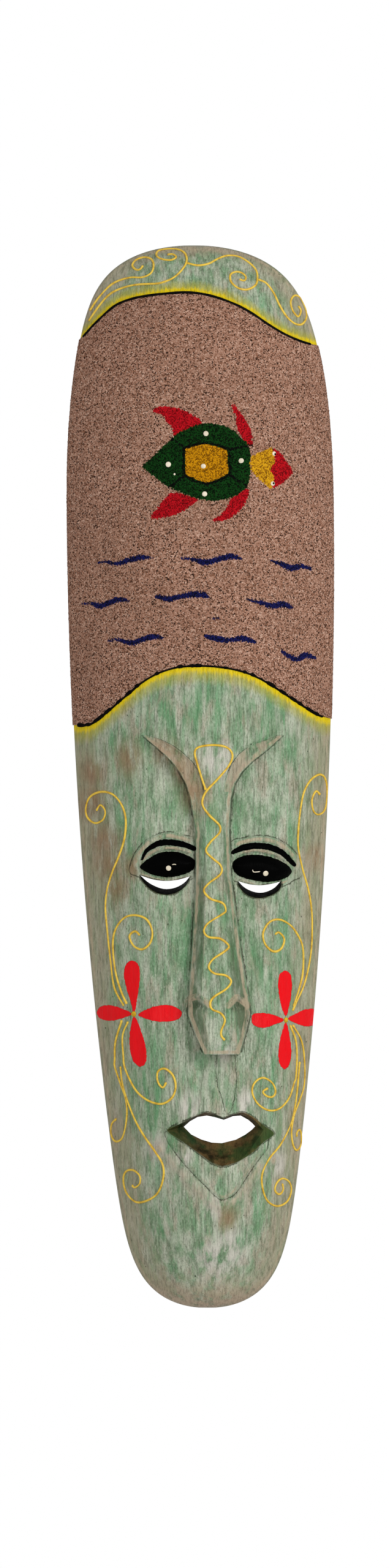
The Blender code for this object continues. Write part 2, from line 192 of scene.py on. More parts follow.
# %% Smooth tables and the bowed shell
BOW_ALONG = ((0.0, 0.80), (0.10, 0.93), (0.25, 0.97), (0.42, 1.00),
             (0.54, 1.08), (0.70, 1.04), (0.86, 0.96), (1.0, 0.84))
CROSS_POWER = 2.15
ROLL_SPAN = 0.45
CROWN_ROLL = 7.0
CHIN_ROLL = 11.0


def read_along(table, share):
    """Read a smooth curve through (share, value) pairs, flat beyond its ends."""
    places = np.array([row[0] for row in table])
    values = np.array([row[1] for row in table])
    slopes = np.zeros(len(table))
    slopes[1:-1] = (values[2:] - values[:-2]) / (places[2:] - places[:-2])
    share = np.clip(share, places[0], places[-1])
    index = np.clip(np.searchsorted(places, share, side="left") - 1, 0, len(table) - 2)
    span = places[index + 1] - places[index]
    part = (share - places[index]) / span
    rest = 1 - part
    start = values[index] + part * (slopes[index] * span + 2 * values[index])
    end = values[index + 1] + rest * (2 * values[index + 1] - slopes[index + 1] * span)
    return rest * rest * start + part * part * end


def ease(value):
    """A soft step from 0 to 1."""
    value = np.clip(value, 0.0, 1.0)
    return value * value * (3 - 2 * value)


def hump(value):
    """A soft hump: 1 at zero, nothing from one on."""
    return ease(1 - np.abs(value))


def bow_depth(across, share):
    """Depth of the plain bowed shell in front of the wall."""
    crown = np.maximum(0.0, (share - 1 + ROLL_SPAN) / ROLL_SPAN)
    chin = np.maximum(0.0, (ROLL_SPAN - share) / ROLL_SPAN)
    roll = (1 - crown ** CROWN_ROLL) ** 0.5 * (1 - chin ** CHIN_ROLL) ** 0.5
    cross = np.maximum(0.0, 1 - np.abs(across) ** CROSS_POWER)
    return EDGE_THICKNESS + BOW * read_along(BOW_ALONG, share) * roll * cross


middle_depth = bow_depth(np.zeros(3), np.array([0.2, 0.5, 0.8]))
print("depth on the middle line, mm:", (middle_depth * 1000).round(1))

# %% [markdown]
# # The carved lines of the nose and brows
#
# The brows sweep in like two wings and run down into the sides of the nose. Their edges
# are the crispest thing on the mask. If they crossed the mesh at random they would come
# out jagged, so the mesh follows them: a table gives where the four edges lie at each
# height, and later the columns of the mesh are laid along these lines.

# %% Lines and heights of the carved face
CARVED_LINES = (
    (1.0000, -0.500, -0.300, 0.300, 0.500),
    (0.7500, -0.500, -0.300, 0.300, 0.500),
    (0.6000, -0.480, -0.380, 0.470, 0.580),
    (0.5398, -0.466, -0.450, 0.618, 0.631),
    (0.5346, -0.425, -0.320, 0.500, 0.590),
    (0.5289, -0.370, -0.225, 0.375, 0.540),
    (0.5219, -0.305, -0.150, 0.290, 0.470),
    (0.5133, -0.235, -0.075, 0.235, 0.380),
    (0.5035, -0.175, -0.025, 0.195, 0.300),
    (0.4931, -0.130, 0.000, 0.170, 0.250),
    (0.4786, -0.095, 0.012, 0.156, 0.218),
    (0.4498, -0.056, 0.018, 0.150, 0.205),
    (0.4065, -0.062, 0.020, 0.150, 0.222),
    (0.3776, -0.076, 0.013, 0.165, 0.259),
    (0.3326, -0.104, -0.007, 0.208, 0.319),
    (0.2939, -0.140, -0.028, 0.249, 0.388),
    (0.2766, -0.148, -0.020, 0.268, 0.408),
    (0.2569, -0.080, 0.027, 0.288, 0.365),
    (0.2402, -0.005, 0.036, 0.300, 0.322),
    (0.1700, -0.350, -0.100, 0.400, 0.640),
    (0.0000, -0.500, -0.300, 0.300, 0.500),
)
SOCKET_ALONG = ((0.150, 0.0), (0.200, 0.15), (0.260, 0.45), (0.330, 0.65),
                (0.380, 0.85), (0.440, 1.0), (0.480, 1.0), (0.510, 0.72),
                (0.530, 0.30), (0.5398, 0.0))
NOSE_ALONG = ((0.2402, 0.93), (0.257, 1.0), (0.290, 0.86), (0.330, 0.60),
              (0.380, 0.32), (0.440, 0.10), (0.480, 0.02), (0.510, 0.05),
              (0.5398, 0.0))
NOSE_SIDE_ALONG = ((0.2402, 0.86), (0.257, 0.52), (0.277, 0.34), (0.295, 0.24),
                   (0.330, 0.06), (0.380, -0.12), (0.440, -0.20),
                   (0.470, -0.12), (0.490, 0.0), (0.5398, 0.0))
CREST_ALONG = ((0.480, 0.0), (0.500, 0.7), (0.520, 1.0), (0.535, 0.6),
               (0.5398, 0.0))
SOCKET_OUTER = (-0.56, 0.70)
SIDE_SHADE_ALONG = ((0.2402, 0.5), (0.257, 0.7), (0.277, 0.85), (0.300, 0.75), (0.380, 0.65),
                    (0.440, 0.45), (0.480, 0.25), (0.500, 0.10), (0.5398, 0.10))
NOSE_BASE = 0.2402
BROW_TOP = 0.5398
CHIN_AT = (0.06, 0.066)
CHIN_HALF = (0.024, 0.017)
CHIN_RISE = 0.0022


def carved_lines(share):
    """Where the four carved lines lie across, left to right, at a share of the length."""
    rows = np.array(CARVED_LINES[::-1])
    return [np.interp(share, rows[:, 0], rows[:, column]) for column in (1, 2, 3, 4)]


def face_depth(across, share):
    """Depth of the front, leaving out the nose and the brows."""
    nose_left, _, _, nose_right = carved_lines(share)
    left = (nose_left - across) / (nose_left - SOCKET_OUTER[0])
    right = (across - nose_right) / (SOCKET_OUTER[1] - nose_right)
    fade = 1 - ease(np.maximum(left, right))
    drop = SOCKET_DROP * read_along(SOCKET_ALONG, share) * fade
    chin_x = (across - CHIN_AT[0]) * half_width(share) / CHIN_HALF[0]
    chin_z = (share - CHIN_AT[1]) * LENGTH / CHIN_HALF[1]
    return bow_depth(across, share) - drop + CHIN_RISE * hump(chin_x) * hump(chin_z)


def nose_depth(across, share):
    """Depth on the nose and brows, and how far inside their outer lines a place is."""
    outer_left, inner_left, inner_right, outer_right = carved_lines(share)
    climb = np.minimum((across - outer_left) / (inner_left - outer_left),
                       (outer_right - across) / (outer_right - inner_right))
    side = read_along(NOSE_SIDE_ALONG, share) * NOSE_RISE
    side += read_along(CREST_ALONG, share) * BROW_CREST
    top = read_along(NOSE_ALONG, share) * NOSE_RISE
    return bow_depth(across, share) + side + (top - side) * np.clip(climb, 0.0, 1.0), climb


print(f"nose stands {1000 * NOSE_RISE:.1f} mm over the shell, sockets drop {1000 * SOCKET_DROP:.1f} mm")

# %% [markdown]
# # Drawing on the wood
#
# Lids, lips, petals and scrolls are all drawn lines. For each of them we keep a short
# list of places in millimetres, and two small tools turn the list into something useful.
# One runs a smooth curve through the places. The other measures how far any point of the
# mask is from the curve.
#
# That distance is worth a lot. It can raise a ridge or cut a groove, and later it tells
# the material where one paint stops and the next one starts, with a crisp edge.

# %% Curves and distances
CURVE_STEP = 0.8
REACH = 12.0
TINY = 1e-12


def smooth_path(places, closed=False, step=CURVE_STEP):
    """A smooth curve through the places, as points about one step apart."""
    points = np.array(places, dtype=float)
    if closed:
        padded = np.vstack((points[-1], points, points[:2]))
    else:
        padded = np.vstack((2 * points[0] - points[1], points, 2 * points[-1] - points[-2]))
    made = []
    for before, start, end, after in zip(padded, padded[1:], padded[2:], padded[3:]):
        count = max(1, int(np.ceil(np.linalg.norm(end - start) / step)))
        part = (np.arange(count) / count)[:, None]
        made.append(0.5 * (2 * start + (end - before) * part
                           + (2 * before - 5 * start + 4 * end - after) * part ** 2
                           + (3 * start - before - 3 * end + after) * part ** 3))
    if not closed:
        made.append(points[-1:])
    return np.vstack(made)


def nearest_on(path, x, z):
    """Distance from each point to a path, up to REACH, and where along it that is."""
    distance = np.full(x.shape, REACH)
    along = np.zeros(x.shape)
    low = path[:, :2].min(axis=0) - REACH
    high = path[:, :2].max(axis=0) + REACH
    near = (x > low[0]) & (x < high[0]) & (z > low[1]) & (z < high[1])
    px = x[near]
    pz = z[near]
    best = distance[near]
    place = along[near]
    for index, (start, end) in enumerate(zip(path[:, :2], path[1:, :2])):
        step = end - start
        part = ((px - start[0]) * step[0] + (pz - start[1]) * step[1]) / max(step @ step, TINY)
        part = np.clip(part, 0.0, 1.0)
        gap = np.hypot(px - start[0] - step[0] * part, pz - start[1] - step[1] * part)
        closer = gap < best
        best[closer] = gap[closer]
        place[closer] = index + part[closer]
    distance[near] = best
    along[near] = place
    return distance, along


def gap_to(places, x, z):
    """Distance from each point to the smooth line through some places."""
    return nearest_on(smooth_path(places), x, z)[0]


def inside_by(outline, x, z):
    """How far inside a closed outline each point is, negative outside it."""
    loop = np.vstack((outline, outline[:1]))
    distance, _ = nearest_on(loop, x, z)
    inside = np.zeros(x.shape, dtype=bool)
    for start, end in zip(loop, loop[1:]):
        crosses = (start[1] > z) != (end[1] > z)
        run = np.where(crosses, (z - start[1]) / (end[1] - start[1] + TINY), 0.0)
        inside ^= crosses & (x < start[0] + run * (end[0] - start[0]))
    return np.where(inside, distance, -distance)


def inside_any(outlines, x, z):
    """How far inside the nearest of several smooth closed outlines each point is."""
    return np.maximum.reduce([
        inside_by(smooth_path(outline, closed=True), x, z) for outline in outlines])


def strokes_by(strokes, x, z):
    """The same for brush strokes, given as (right, up, half width) places."""
    depths = []
    for places in strokes:
        path = smooth_path(places)
        distance, along = nearest_on(path, x, z)
        depths.append(np.interp(along, np.arange(len(path)), path[:, 2]) - distance)
    return np.maximum.reduce(depths)


print("a smooth path through 3 places has", len(smooth_path(((0, 0), (5, 5), (10, 0)))), "points")

# %% [markdown]
# # Eyes, lids and mouth
#
# Each eye is a swollen almond under two arched ridges, with a groove between them.
# Below it a crescent is cut right through the wood, so that the wall behind shows. The
# lips are cut the same way, wide in front and narrow behind.
#
# The places below were read off the mask, from the middle of the chin.

# %% Places of the eyes and lids
EYE_OUTLINES = {
    "left": ((-28.3, 207.6), (-25.4, 210.7), (-20.8, 213.6), (-15.9, 214.8), (-10.1, 214.5),
             (-4.9, 212.5), (-2.6, 210.2), (-3.5, 206.4), (-7.2, 204.4), (-13.0, 202.9),
             (-19.3, 203.2), (-24.8, 205.0)),
    "right": ((15.0, 208.7), (16.5, 211.2), (21.1, 213.0), (26.8, 213.3), (33.2, 212.2),
              (39.0, 209.7), (43.0, 206.1), (41.3, 203.2), (37.5, 201.5), (31.2, 200.6),
              (24.0, 201.5), (18.2, 203.5), (15.6, 206.1)),
}
OUTER_LIDS = {
    "left": ((-31.5, 206.4), (-29.2, 213.0), (-24.8, 218.5), (-19.9, 221.1), (-14.7, 222.3),
             (-7.2, 220.6), (-2.3, 218.2)),
    "right": ((15.0, 217.1), (20.2, 219.4), (26.8, 220.6), (33.8, 219.7), (39.8, 216.5),
              (44.2, 211.6), (46.2, 205.0)),
}
INNER_LIDS = {
    "left": ((-29.2, 206.7), (-25.8, 211.9), (-20.8, 215.4), (-15.0, 216.5), (-7.8, 215.6),
             (-2.3, 213.3)),
    "right": ((15.0, 211.6), (19.6, 214.5), (26.8, 215.4), (34.1, 213.9), (40.1, 210.7),
              (43.9, 205.8)),
}
LOWER_LIDS = {
    "left": ((-30.3, 205.5), (-25.1, 203.5), (-18.8, 201.9), (-12.4, 201.8), (-6.6, 203.2),
             (-2.6, 205.8)),
    "right": ((15.3, 204.7), (18.8, 202.1), (24.5, 200.1), (31.8, 199.5), (38.4, 200.3),
              (43.0, 202.9)),
}
SLIT_TOPS = {
    "left": ((-28.3, 203.7), (-22.2, 201.8), (-16.5, 201.1), (-10.7, 201.6), (-4.9, 203.2)),
    "right": ((17.8, 200.9), (22.5, 199.6), (27.7, 199.0), (32.9, 199.6), (37.7, 200.8)),
}
SLIT_BOTTOMS = {
    "left": ((-4.9, 203.2), (-7.4, 200.3), (-11.4, 198.0), (-15.9, 197.2), (-19.9, 198.0),
             (-24.4, 200.3), (-28.3, 203.7)),
    "right": ((37.7, 200.8), (34.6, 197.6), (30.3, 195.7), (26.3, 195.6), (22.5, 196.9),
              (19.9, 198.6), (17.8, 200.9)),
}
SLIT_RIMS = {
    "left": ((-4.3, 203.2), (-6.6, 198.9), (-10.7, 195.7), (-15.9, 194.4), (-21.4, 195.7),
             (-26.0, 199.3), (-28.9, 203.7)),
    "right": ((38.7, 200.8), (37.0, 196.6), (32.6, 193.9), (27.1, 192.8), (21.9, 194.3),
              (18.5, 197.5), (16.7, 200.9)),
}
BROW_CREASES = {
    "left": ((-27.1, 269.9), (-19.3, 266.5), (-12.1, 262.1), (-6.1, 257.2), (-1.7, 251.7),
             (0.9, 245.4), (2.0, 237.9)),
    "right": ((38.7, 270.2), (31.2, 267.9), (24.0, 264.4), (18.2, 260.1), (14.1, 255.5),
              (11.8, 249.4), (10.7, 241.9)),
}
BROW_HOLLOWS = {
    "left": ((-23.4, 267.9), (-17.0, 264.4), (-10.7, 259.8), (-6.1, 254.6), (-2.6, 247.7),
             (-0.6, 239.0)),
    "right": ((35.5, 268.2), (28.3, 265.0), (21.4, 260.4), (16.7, 255.2), (13.6, 248.3),
              (12.1, 239.0)),
}
print("eyes drawn:", sorted(EYE_OUTLINES))

# %% [markdown]
# # Nose, mouth and chin
#
# The mouth is drawn as two outlines. The wide one lies on the front and the narrow one at
# the back of the wood, and the sloping walls between them are the cut lips. The folds of
# the nose, the lower lip and the cheeks are single lines. They could be sculpted with a
# brush, but a line is easy to move, and it can be measured.

# %% Places of the nose, mouth and chin
NOSTRIL_RIDGES = {
    "left": ((-6.9, 143.2), (-5.2, 145.8), (-1.4, 147.1), (1.7, 145.8), (4.3, 143.2)),
    "right": ((13.0, 142.9), (15.0, 144.9), (17.0, 146.7), (19.3, 145.2), (22.2, 142.9)),
}
NOSTRIL_HOLLOWS = {
    "left": ((-3.8, 142.6), (-0.9, 143.2), (2.0, 141.7)),
    "right": ((15.3, 141.7), (17.6, 143.2), (20.2, 141.7)),
}
MOUTH_EDGE = ((-15.7, 84.2), (-9.2, 87.5), (-3.5, 90.6), (2.3, 92.8), (6.6, 92.1), (10.7, 90.2),
              (15.3, 91.8), (19.6, 92.8), (24.7, 90.6), (29.7, 86.6), (34.8, 82.4), (29.7, 78.4),
              (24.0, 73.3), (16.7, 69.0), (10.2, 67.3), (5.2, 69.0), (-0.6, 73.3), (-7.8, 78.4))
MOUTH_THROAT = ((-7.8, 85.6), (-4.9, 88.2), (-1.3, 90.2), (3.0, 90.9), (6.6, 90.2), (11.0, 88.9),
                (15.3, 90.6), (18.9, 90.9), (22.5, 88.9), (24.5, 87.2), (25.8, 85.7),
                (24.0, 83.9), (21.1, 81.8), (16.7, 79.5), (10.1, 77.9), (5.2, 78.2), (0.3, 79.7),
                (-4.3, 82.0))
LIP_CREASE = ((-15.7, 79.8), (-13.6, 76.2), (-9.2, 70.4), (-3.5, 63.9), (2.3, 58.2), (5.9, 54.3),
              (9.8, 51.7), (13.9, 52.8), (16.7, 54.8), (21.1, 61.1), (25.4, 67.6), (29.7, 73.3),
              (31.5, 75.5))
LIP_FOLD = ((-18.8, 76.8), (-15.9, 72.7), (-11.3, 67.0), (-5.5, 60.3), (0.3, 54.3), (4.9, 50.2),
            (9.8, 48.2), (15.3, 49.9), (18.8, 53.1), (23.4, 59.2), (28.0, 66.1), (32.0, 70.4))
PHILTRUM = ((8.4, 123.6), (7.5, 117.8), (7.5, 111.4), (8.1, 105.1), (10.1, 99.3), (11.8, 93.0),
            (14.1, 93.0), (16.2, 100.8), (17.0, 108.0), (16.7, 112.3), (16.5, 117.8),
            (15.9, 123.6))
LIP_TOP = ((31.5, 82.0), (24.5, 87.8), (9.5, 92.1), (-7.8, 88.9), (-15.9, 84.0))
CHEEK_KNOBS = ((-19.6, 75.3), (34.6, 69.6))
CHEEK_SCARS = {
    "left": ((-1.4, 112.6), (-4.9, 115.2), (-6.9, 121.0), (-6.1, 128.2)),
    "right": ((19.1, 117.2), (16.7, 119.8)),
}
print("mouth outline:", len(MOUTH_EDGE), "places in front,", len(MOUTH_THROAT), "behind")

# %% [markdown]
# # Relief on the front
#
# The drawn lines now become carving. Every ridge and groove adds or takes away a little
# depth near its line, and fades softly to nothing. The eyeball swells from its outline
# inwards, like a drop. Long shallow waves run down the whole front: they are what is left
# of the carver's chisel under the paint.
#
# A sculpting brush or a displacement picture would do the same job. Distances keep the
# carving sharp at any size and need no picture.

# %% Carving from the drawn lines
EYE_SWELL = 4.2
EYE_SWELL_REACH = 5.6
EYE_FULLNESS = 0.7
SIDE_RIDGES = ((OUTER_LIDS, 2.3, 1.4), (INNER_LIDS, 1.5, 1.5), (LOWER_LIDS, 1.3, 0.9),
               (BROW_CREASES, 1.5, -0.7), (BROW_HOLLOWS, 2.2, -0.7), (NOSTRIL_RIDGES, 1.5, 1.8),
               (NOSTRIL_HOLLOWS, 2.8, -2.4), (CHEEK_SCARS, 0.9, 0.25))
LIP_RIDGES = ((LIP_CREASE, 1.3, -0.8), (LIP_FOLD, 3.0, 0.6))
PHILTRUM_DEPTH = 0.5
PHILTRUM_SLOPE = 1.4
KNOB_HEIGHT = 1.3
KNOB_RADIUS = 4.0
TOOL_MARK = 0.07
TOOL_MARK_COUNT = 40
TOOL_MARK_WIDTHS = (4.0, 16.0)
TOOL_MARK_LENGTHS = (45.0, 160.0)
TOOL_MARK_SEED = 11
END_FADE = 7.0
END_HEIGHT = 0.15


def ridge(places, half, height, x, z):
    """A soft ridge, or with a negative height a groove, that fades at its ends."""
    path = smooth_path(places)
    distance, along = nearest_on(path, x, z)
    from_end = np.minimum(along, len(path) - 1 - along) * CURVE_STEP
    return height * hump(distance / half) * ease(END_HEIGHT + from_end / END_FADE)


def tool_marks(x, z):
    """Long shallow waves down the wood, left by the chisel."""
    chance = np.random.default_rng(TOOL_MARK_SEED)
    total = np.zeros(x.shape)
    for _ in range(TOOL_MARK_COUNT):
        across_wave = 2 * np.pi / chance.uniform(*TOOL_MARK_WIDTHS)
        along_wave = 2 * np.pi / chance.uniform(*TOOL_MARK_LENGTHS) * chance.choice((-1, 1))
        phase = chance.uniform(0, 2 * np.pi)
        total += np.sin(x * across_wave + z * along_wave + phase)
    return TOOL_MARK * total / np.sqrt(TOOL_MARK_COUNT / 2)


def face_relief(x, z):
    """Height in millimetres that the fine carving adds at each place."""
    height = tool_marks(x, z)
    for side in EYE_OUTLINES:
        within = inside_any((EYE_OUTLINES[side],), x, z)
        part = np.clip(within / EYE_SWELL_REACH, 0.0, 1.0)
        height += EYE_SWELL * (1 - (1 - part) ** 2) ** EYE_FULLNESS
        for lines, half, rise in SIDE_RIDGES:
            height += ridge(lines[side], half, rise, x, z)
    for line, half, rise in LIP_RIDGES:
        height += ridge(line, half, rise, x, z)
    height -= PHILTRUM_DEPTH * ease(inside_any((PHILTRUM,), x, z) / PHILTRUM_SLOPE + 0.5)
    for right, up in CHEEK_KNOBS:
        height += KNOB_HEIGHT * hump(np.hypot(x - right, z - up) / KNOB_RADIUS)
    return height


print(f"eyes swell {EYE_SWELL} mm, tool marks about {TOOL_MARK} mm")

# %% [markdown]
# # The mesh of the front
#
# We lay out the mesh as rows and columns, like cloth stretched over the mask. Rows are
# close together on the face and further apart where nothing happens. Columns follow the
# carved lines. A few extra columns crowd at the rim, because the rim is rounded over.
#
# The other common way is to model a coarse face and subdivide it. That is kinder to edit
# by hand, but it rounds off the chisel cuts, which are the character of this mask.

# %% Rows and columns
ROW_BANDS = ((0.0, 0.060, 34), (0.060, 0.235, 118), (0.235, 0.2402, 8), (0.2402, 0.3000, 50),
             (0.3000, 0.3900, 52), (0.3900, 0.4600, 64), (0.4600, 0.5398, 62),
             (0.5398, 0.9200, 44), (0.9200, 1.0, 42))
END_CROWDING = 1.7
RIM_COLUMNS = (0.0, 0.10, 0.30, 0.60, 1.0, 1.5)
RIM_ROUNDING = 1.6
COLUMNS_OUTSIDE = 58
COLUMNS_BROW = 12
COLUMNS_NOSE = 30
COLUMN_CROWDING = 1.25
CUT_WALL = 0.45
ON_LINE = 1e-6


def row_shares():
    """Shares of the length where the rows lie, from chin to crown."""
    shares = []
    for low, high, count in ROW_BANDS:
        part = np.arange(count) / count
        if low == 0.0:
            part = part ** END_CROWDING
        if high == 1.0:
            part = 1 - (1 - part) ** END_CROWDING
        shares.append(low + (high - low) * part)
    return np.concatenate(shares + [np.array([1.0])])


def columns_for(shares):
    """Places across for every row, following the carved lines."""
    room = half_width(shares)[:, None]
    outer_left, inner_left, inner_right, outer_right = (
        line[:, None] for line in carved_lines(shares))
    rim = np.array(RIM_COLUMNS)[None, :] * MM / room
    wall = CUT_WALL * MM / room
    part = 1 - (1 - np.arange(1, COLUMNS_OUTSIDE + 1) / COLUMNS_OUTSIDE) ** COLUMN_CROWDING
    brow = np.arange(COLUMNS_BROW) / COLUMNS_BROW
    nose = np.arange(COLUMNS_NOSE + 1) / COLUMNS_NOSE
    left_edge = -1 + rim[:, -1:]
    right_edge = 1 - rim[:, -1:]
    return np.hstack((
        -1 + rim,
        left_edge + (outer_left - wall - left_edge) * part,
        outer_left + (inner_left - outer_left) * brow,
        inner_left + (inner_right - inner_left) * nose,
        outer_right + (inner_right - outer_right) * brow[::-1],
        right_edge + (outer_right + wall - right_edge) * part[::-1],
        1 - rim[:, ::-1]))


def rim_drop(across, share):
    """How much the rounded rim takes off, in metres."""
    gap = (1 - np.abs(across)) * half_width(share) / MM
    gap = np.minimum(gap, np.minimum(share, 1 - share) * LENGTH / MM)
    part = 1 - np.clip(gap / RIM_ROUNDING, 0.0, 1.0)
    return RIM_ROUNDING * MM * (1 - (1 - part * part) ** 0.5)


def front_points(across, share):
    """The carved front as an array of points."""
    on_top, climb = nose_depth(across, share)
    on_nose = (climb > -ON_LINE) & (share >= NOSE_BASE) & (share < BROW_TOP)
    depth = np.where(on_nose, on_top, face_depth(across, share))
    x = middle(share) + across * half_width(share)
    z = CHIN + share * LENGTH
    depth = depth + MM * face_relief(x / MM, (z - CHIN) / MM) - rim_drop(across, share)
    return np.stack((x, -depth, z), axis=-1)


shares = row_shares()
across = columns_for(shares)
front = front_points(across, np.broadcast_to(shares[:, None], across.shape))
print("front mesh:", front.shape[0], "rows of", front.shape[1])

# %% [markdown]
# # Closing the block and hollowing it
#
# The front is only a sheet. Walls along its border and a flat back turn it into a solid
# block. The hollow is a second, rounder block that we subtract, and the lips, the
# crescents and the nail hole are cut through in the same way. That is how the carver
# works too: shape the front, turn the block over, scoop it out, then cut through.
#
# Subtracting needs closed shapes, and Blender's exact solver keeps the cut edges crisp.

# %% Closed blocks from sheets and rings
work = bpy.data.collections.new("carving_blocks")
bpy.context.scene.collection.children.link(work)


def add_object(name, bm, collection=work):
    """Turn a bmesh into an object of its own."""
    mesh = bpy.data.meshes.new(name)
    bm.to_mesh(mesh)
    bm.free()
    thing = bpy.data.objects.new(name, mesh)
    collection.objects.link(thing)
    return thing


def sheet_mesh(points):
    """A bmesh of a sheet given as rows of points."""
    rows, columns = points.shape[:2]
    bm = bmesh.new()
    bmesh.ops.create_grid(bm, x_segments=columns - 1, y_segments=rows - 1)
    for vert, point in zip(bm.verts, points.reshape(-1, 3).tolist()):
        vert.co = point
    return bm


def add_wall(bm, ring, after):
    """Join two rings of points of a bmesh by a wall of four-sided faces."""
    for step in range(len(ring)):
        other = (step + 1) % len(ring)
        bm.faces.new((ring[step], ring[other], after[other], after[step]))


def block_from_sheet(name, points, back):
    """Close a sheet with walls down to y = back and a flat face there."""
    bm = sheet_mesh(points)
    bm.verts.ensure_lookup_table()
    order = np.arange(points[:, :, 0].size).reshape(points.shape[:2])
    border = np.concatenate((order[0], order[1:, -1], order[-1, -2::-1], order[-2:0:-1, 0]))
    front_ring = [bm.verts[index] for index in border.tolist()]
    back_ring = [bm.verts.new((vert.co.x, back, vert.co.z)) for vert in front_ring]
    add_wall(bm, front_ring, back_ring)
    bm.faces.new(back_ring)
    bmesh.ops.recalc_face_normals(bm, faces=bm.faces)
    return add_object(name, bm)


def join_rings(bm, rings):
    """Join rings of points, one behind the other, into a closed skin."""
    loops = [[bm.verts.new(point) for point in ring.tolist()] for ring in rings]
    for ring, after in zip(loops, loops[1:]):
        add_wall(bm, ring, after)
    bm.faces.new(loops[0])
    bm.faces.new(reversed(loops[-1]))


def block_from_rings(name, rings):
    """A closed block whose outline changes from ring to ring."""
    bm = bmesh.new()
    join_rings(bm, rings)
    bmesh.ops.recalc_face_normals(bm, faces=bm.faces)
    return add_object(name, bm)


block = block_from_sheet("painted_mask", front, 0.0)
print("block:", len(block.data.polygons), "faces")

# %% [markdown]
# # The hollow behind
#
# A carver scoops out the back with a round gouge, which makes the mask light and keeps the
# wood from splitting. The scoops leave rows of shallow cups. The front could be copied
# inwards for this, but its fine carving would come through. So the hollow follows the
# plain bowed shell, and the cups are added as small waves.

# %% The hollow behind
RIM = 0.0100
TOP_LAND = 0.046
CHIN_LAND = 0.036
HOLLOW_SIDE_POWER = 7.0
HOLLOW_END_POWER = 0.35
HOLLOW_END_WIDTH = 0.30
HOLLOW_WIDTH_POWER = 0.55
HOLLOW_COLUMNS = 54
HOLLOW_ROWS = 110
GOUGE_DEPTH = 0.35
GOUGE_WIDTH = 7.0
GOUGE_LENGTH = 17.0
GOUGE_SEED = 5
GOUGE_ROWS = 400
GOUGE_ROWS_BELOW = 60
GOUGE_SWAY = 0.35
GOUGE_SWAY_TURN = 0.23
CUP_POWERS = (0.8, 0.6)
CUP_FLOOR = 0.35
PAST = 0.004


def gouge_marks(x, z):
    """Overlapping scoops that a round gouge leaves in the hollow."""
    shifts = np.random.default_rng(GOUGE_SEED).uniform(0, 1, GOUGE_ROWS)
    row = z / GOUGE_LENGTH + GOUGE_SWAY * np.sin(x * GOUGE_SWAY_TURN)
    index = np.clip(np.floor(row) + GOUGE_ROWS_BELOW, 0, GOUGE_ROWS - 1).astype(int)
    cup_x = np.abs(np.sin(np.pi * (x / GOUGE_WIDTH + shifts[index]))) ** CUP_POWERS[0]
    cup_z = np.abs(np.sin(np.pi * row)) ** CUP_POWERS[1]
    return GOUGE_DEPTH * cup_x * (CUP_FLOOR + (1 - CUP_FLOOR) * cup_z)


angle = np.linspace(0, np.pi, HOLLOW_ROWS + 1)[:, None]
swell = np.maximum(0.0, np.sin(angle))
low_share = CHIN_LAND / LENGTH
high_share = 1 - TOP_LAND / LENGTH
hollow_share = low_share + (high_share - low_share) * (1 - np.cos(angle)) / 2
opening = HOLLOW_END_WIDTH + (1 - HOLLOW_END_WIDTH) * swell ** HOLLOW_WIDTH_POWER
place = np.clip(-np.cos(np.linspace(0, np.pi, HOLLOW_COLUMNS + 1)), -1.0, 1.0)[None, :]
hollow_x = middle(hollow_share) + (half_width(hollow_share) - RIM) * opening * place
hollow_share = np.broadcast_to(hollow_share, hollow_x.shape)
hollow_z = CHIN + hollow_share * LENGTH
deep = bow_depth((hollow_x - middle(hollow_share)) / half_width(hollow_share), hollow_share) - WALL
inward = (1 - np.abs(place) ** HOLLOW_SIDE_POWER) ** 0.5 * swell ** HOLLOW_END_POWER
deep = deep * inward - MM * gouge_marks(hollow_x / MM, hollow_z / MM) * inward
hollow = block_from_sheet("hollow", np.stack((hollow_x, -deep, hollow_z), axis=-1), PAST)
print(f"hollow: {1000 * deep.max():.1f} mm at its deepest")

# %% [markdown]
# # Blocks for the openings
#
# The real openings are cut with a narrow chisel that leans outwards, so each one is wide
# in front and narrow behind. A straight hole would look drilled. Each block is a stack of
# rings instead: one floats in front of the wood, one lies on it, and the rest shrink
# towards the back. Only the nail hole is straight, and it stops inside the wood.

# %% Mouth, crescents and nail hole
NAIL_HOLE_RADIUS = 0.004
NAIL_HOLE_DEPTH = 0.014
NAIL_HOLE_SIDES = 40
SLIT_POINTS = 18
SLIT_BEVEL = 0.001
SLIT_TAPER = 0.6


def ring_at(places, depth):
    """Places in millimetres, set at a depth in metres in front of the wall."""
    flat = np.array(places, dtype=float) * MM
    depth = np.broadcast_to(depth, len(flat))
    return np.stack((flat[:, 0], -depth, CHIN + flat[:, 1]), axis=-1)


def plain_depth(places):
    """Depth of the face at places in millimetres, without the fine carving."""
    flat = np.array(places, dtype=float) * MM
    share = flat[:, 1] / LENGTH
    return face_depth(across_of(flat[:, 0], CHIN + flat[:, 1]), share)


def evenly(path, count):
    """The same curve, as a chosen number of evenly spaced points."""
    steps = np.concatenate(([0.0], np.cumsum(np.hypot(*np.diff(path, axis=0).T))))
    places = np.linspace(0.0, steps[-1], count)
    return np.stack([np.interp(places, steps, path[:, axis]) for axis in (0, 1)], axis=-1)


def slit_outline(bottom, side):
    """A closed crescent: its top, left to right, then a bottom line back again."""
    top = evenly(smooth_path(SLIT_TOPS[side]), SLIT_POINTS)
    return np.vstack((top, evenly(smooth_path(bottom), SLIT_POINTS + 2)[1:-1]))


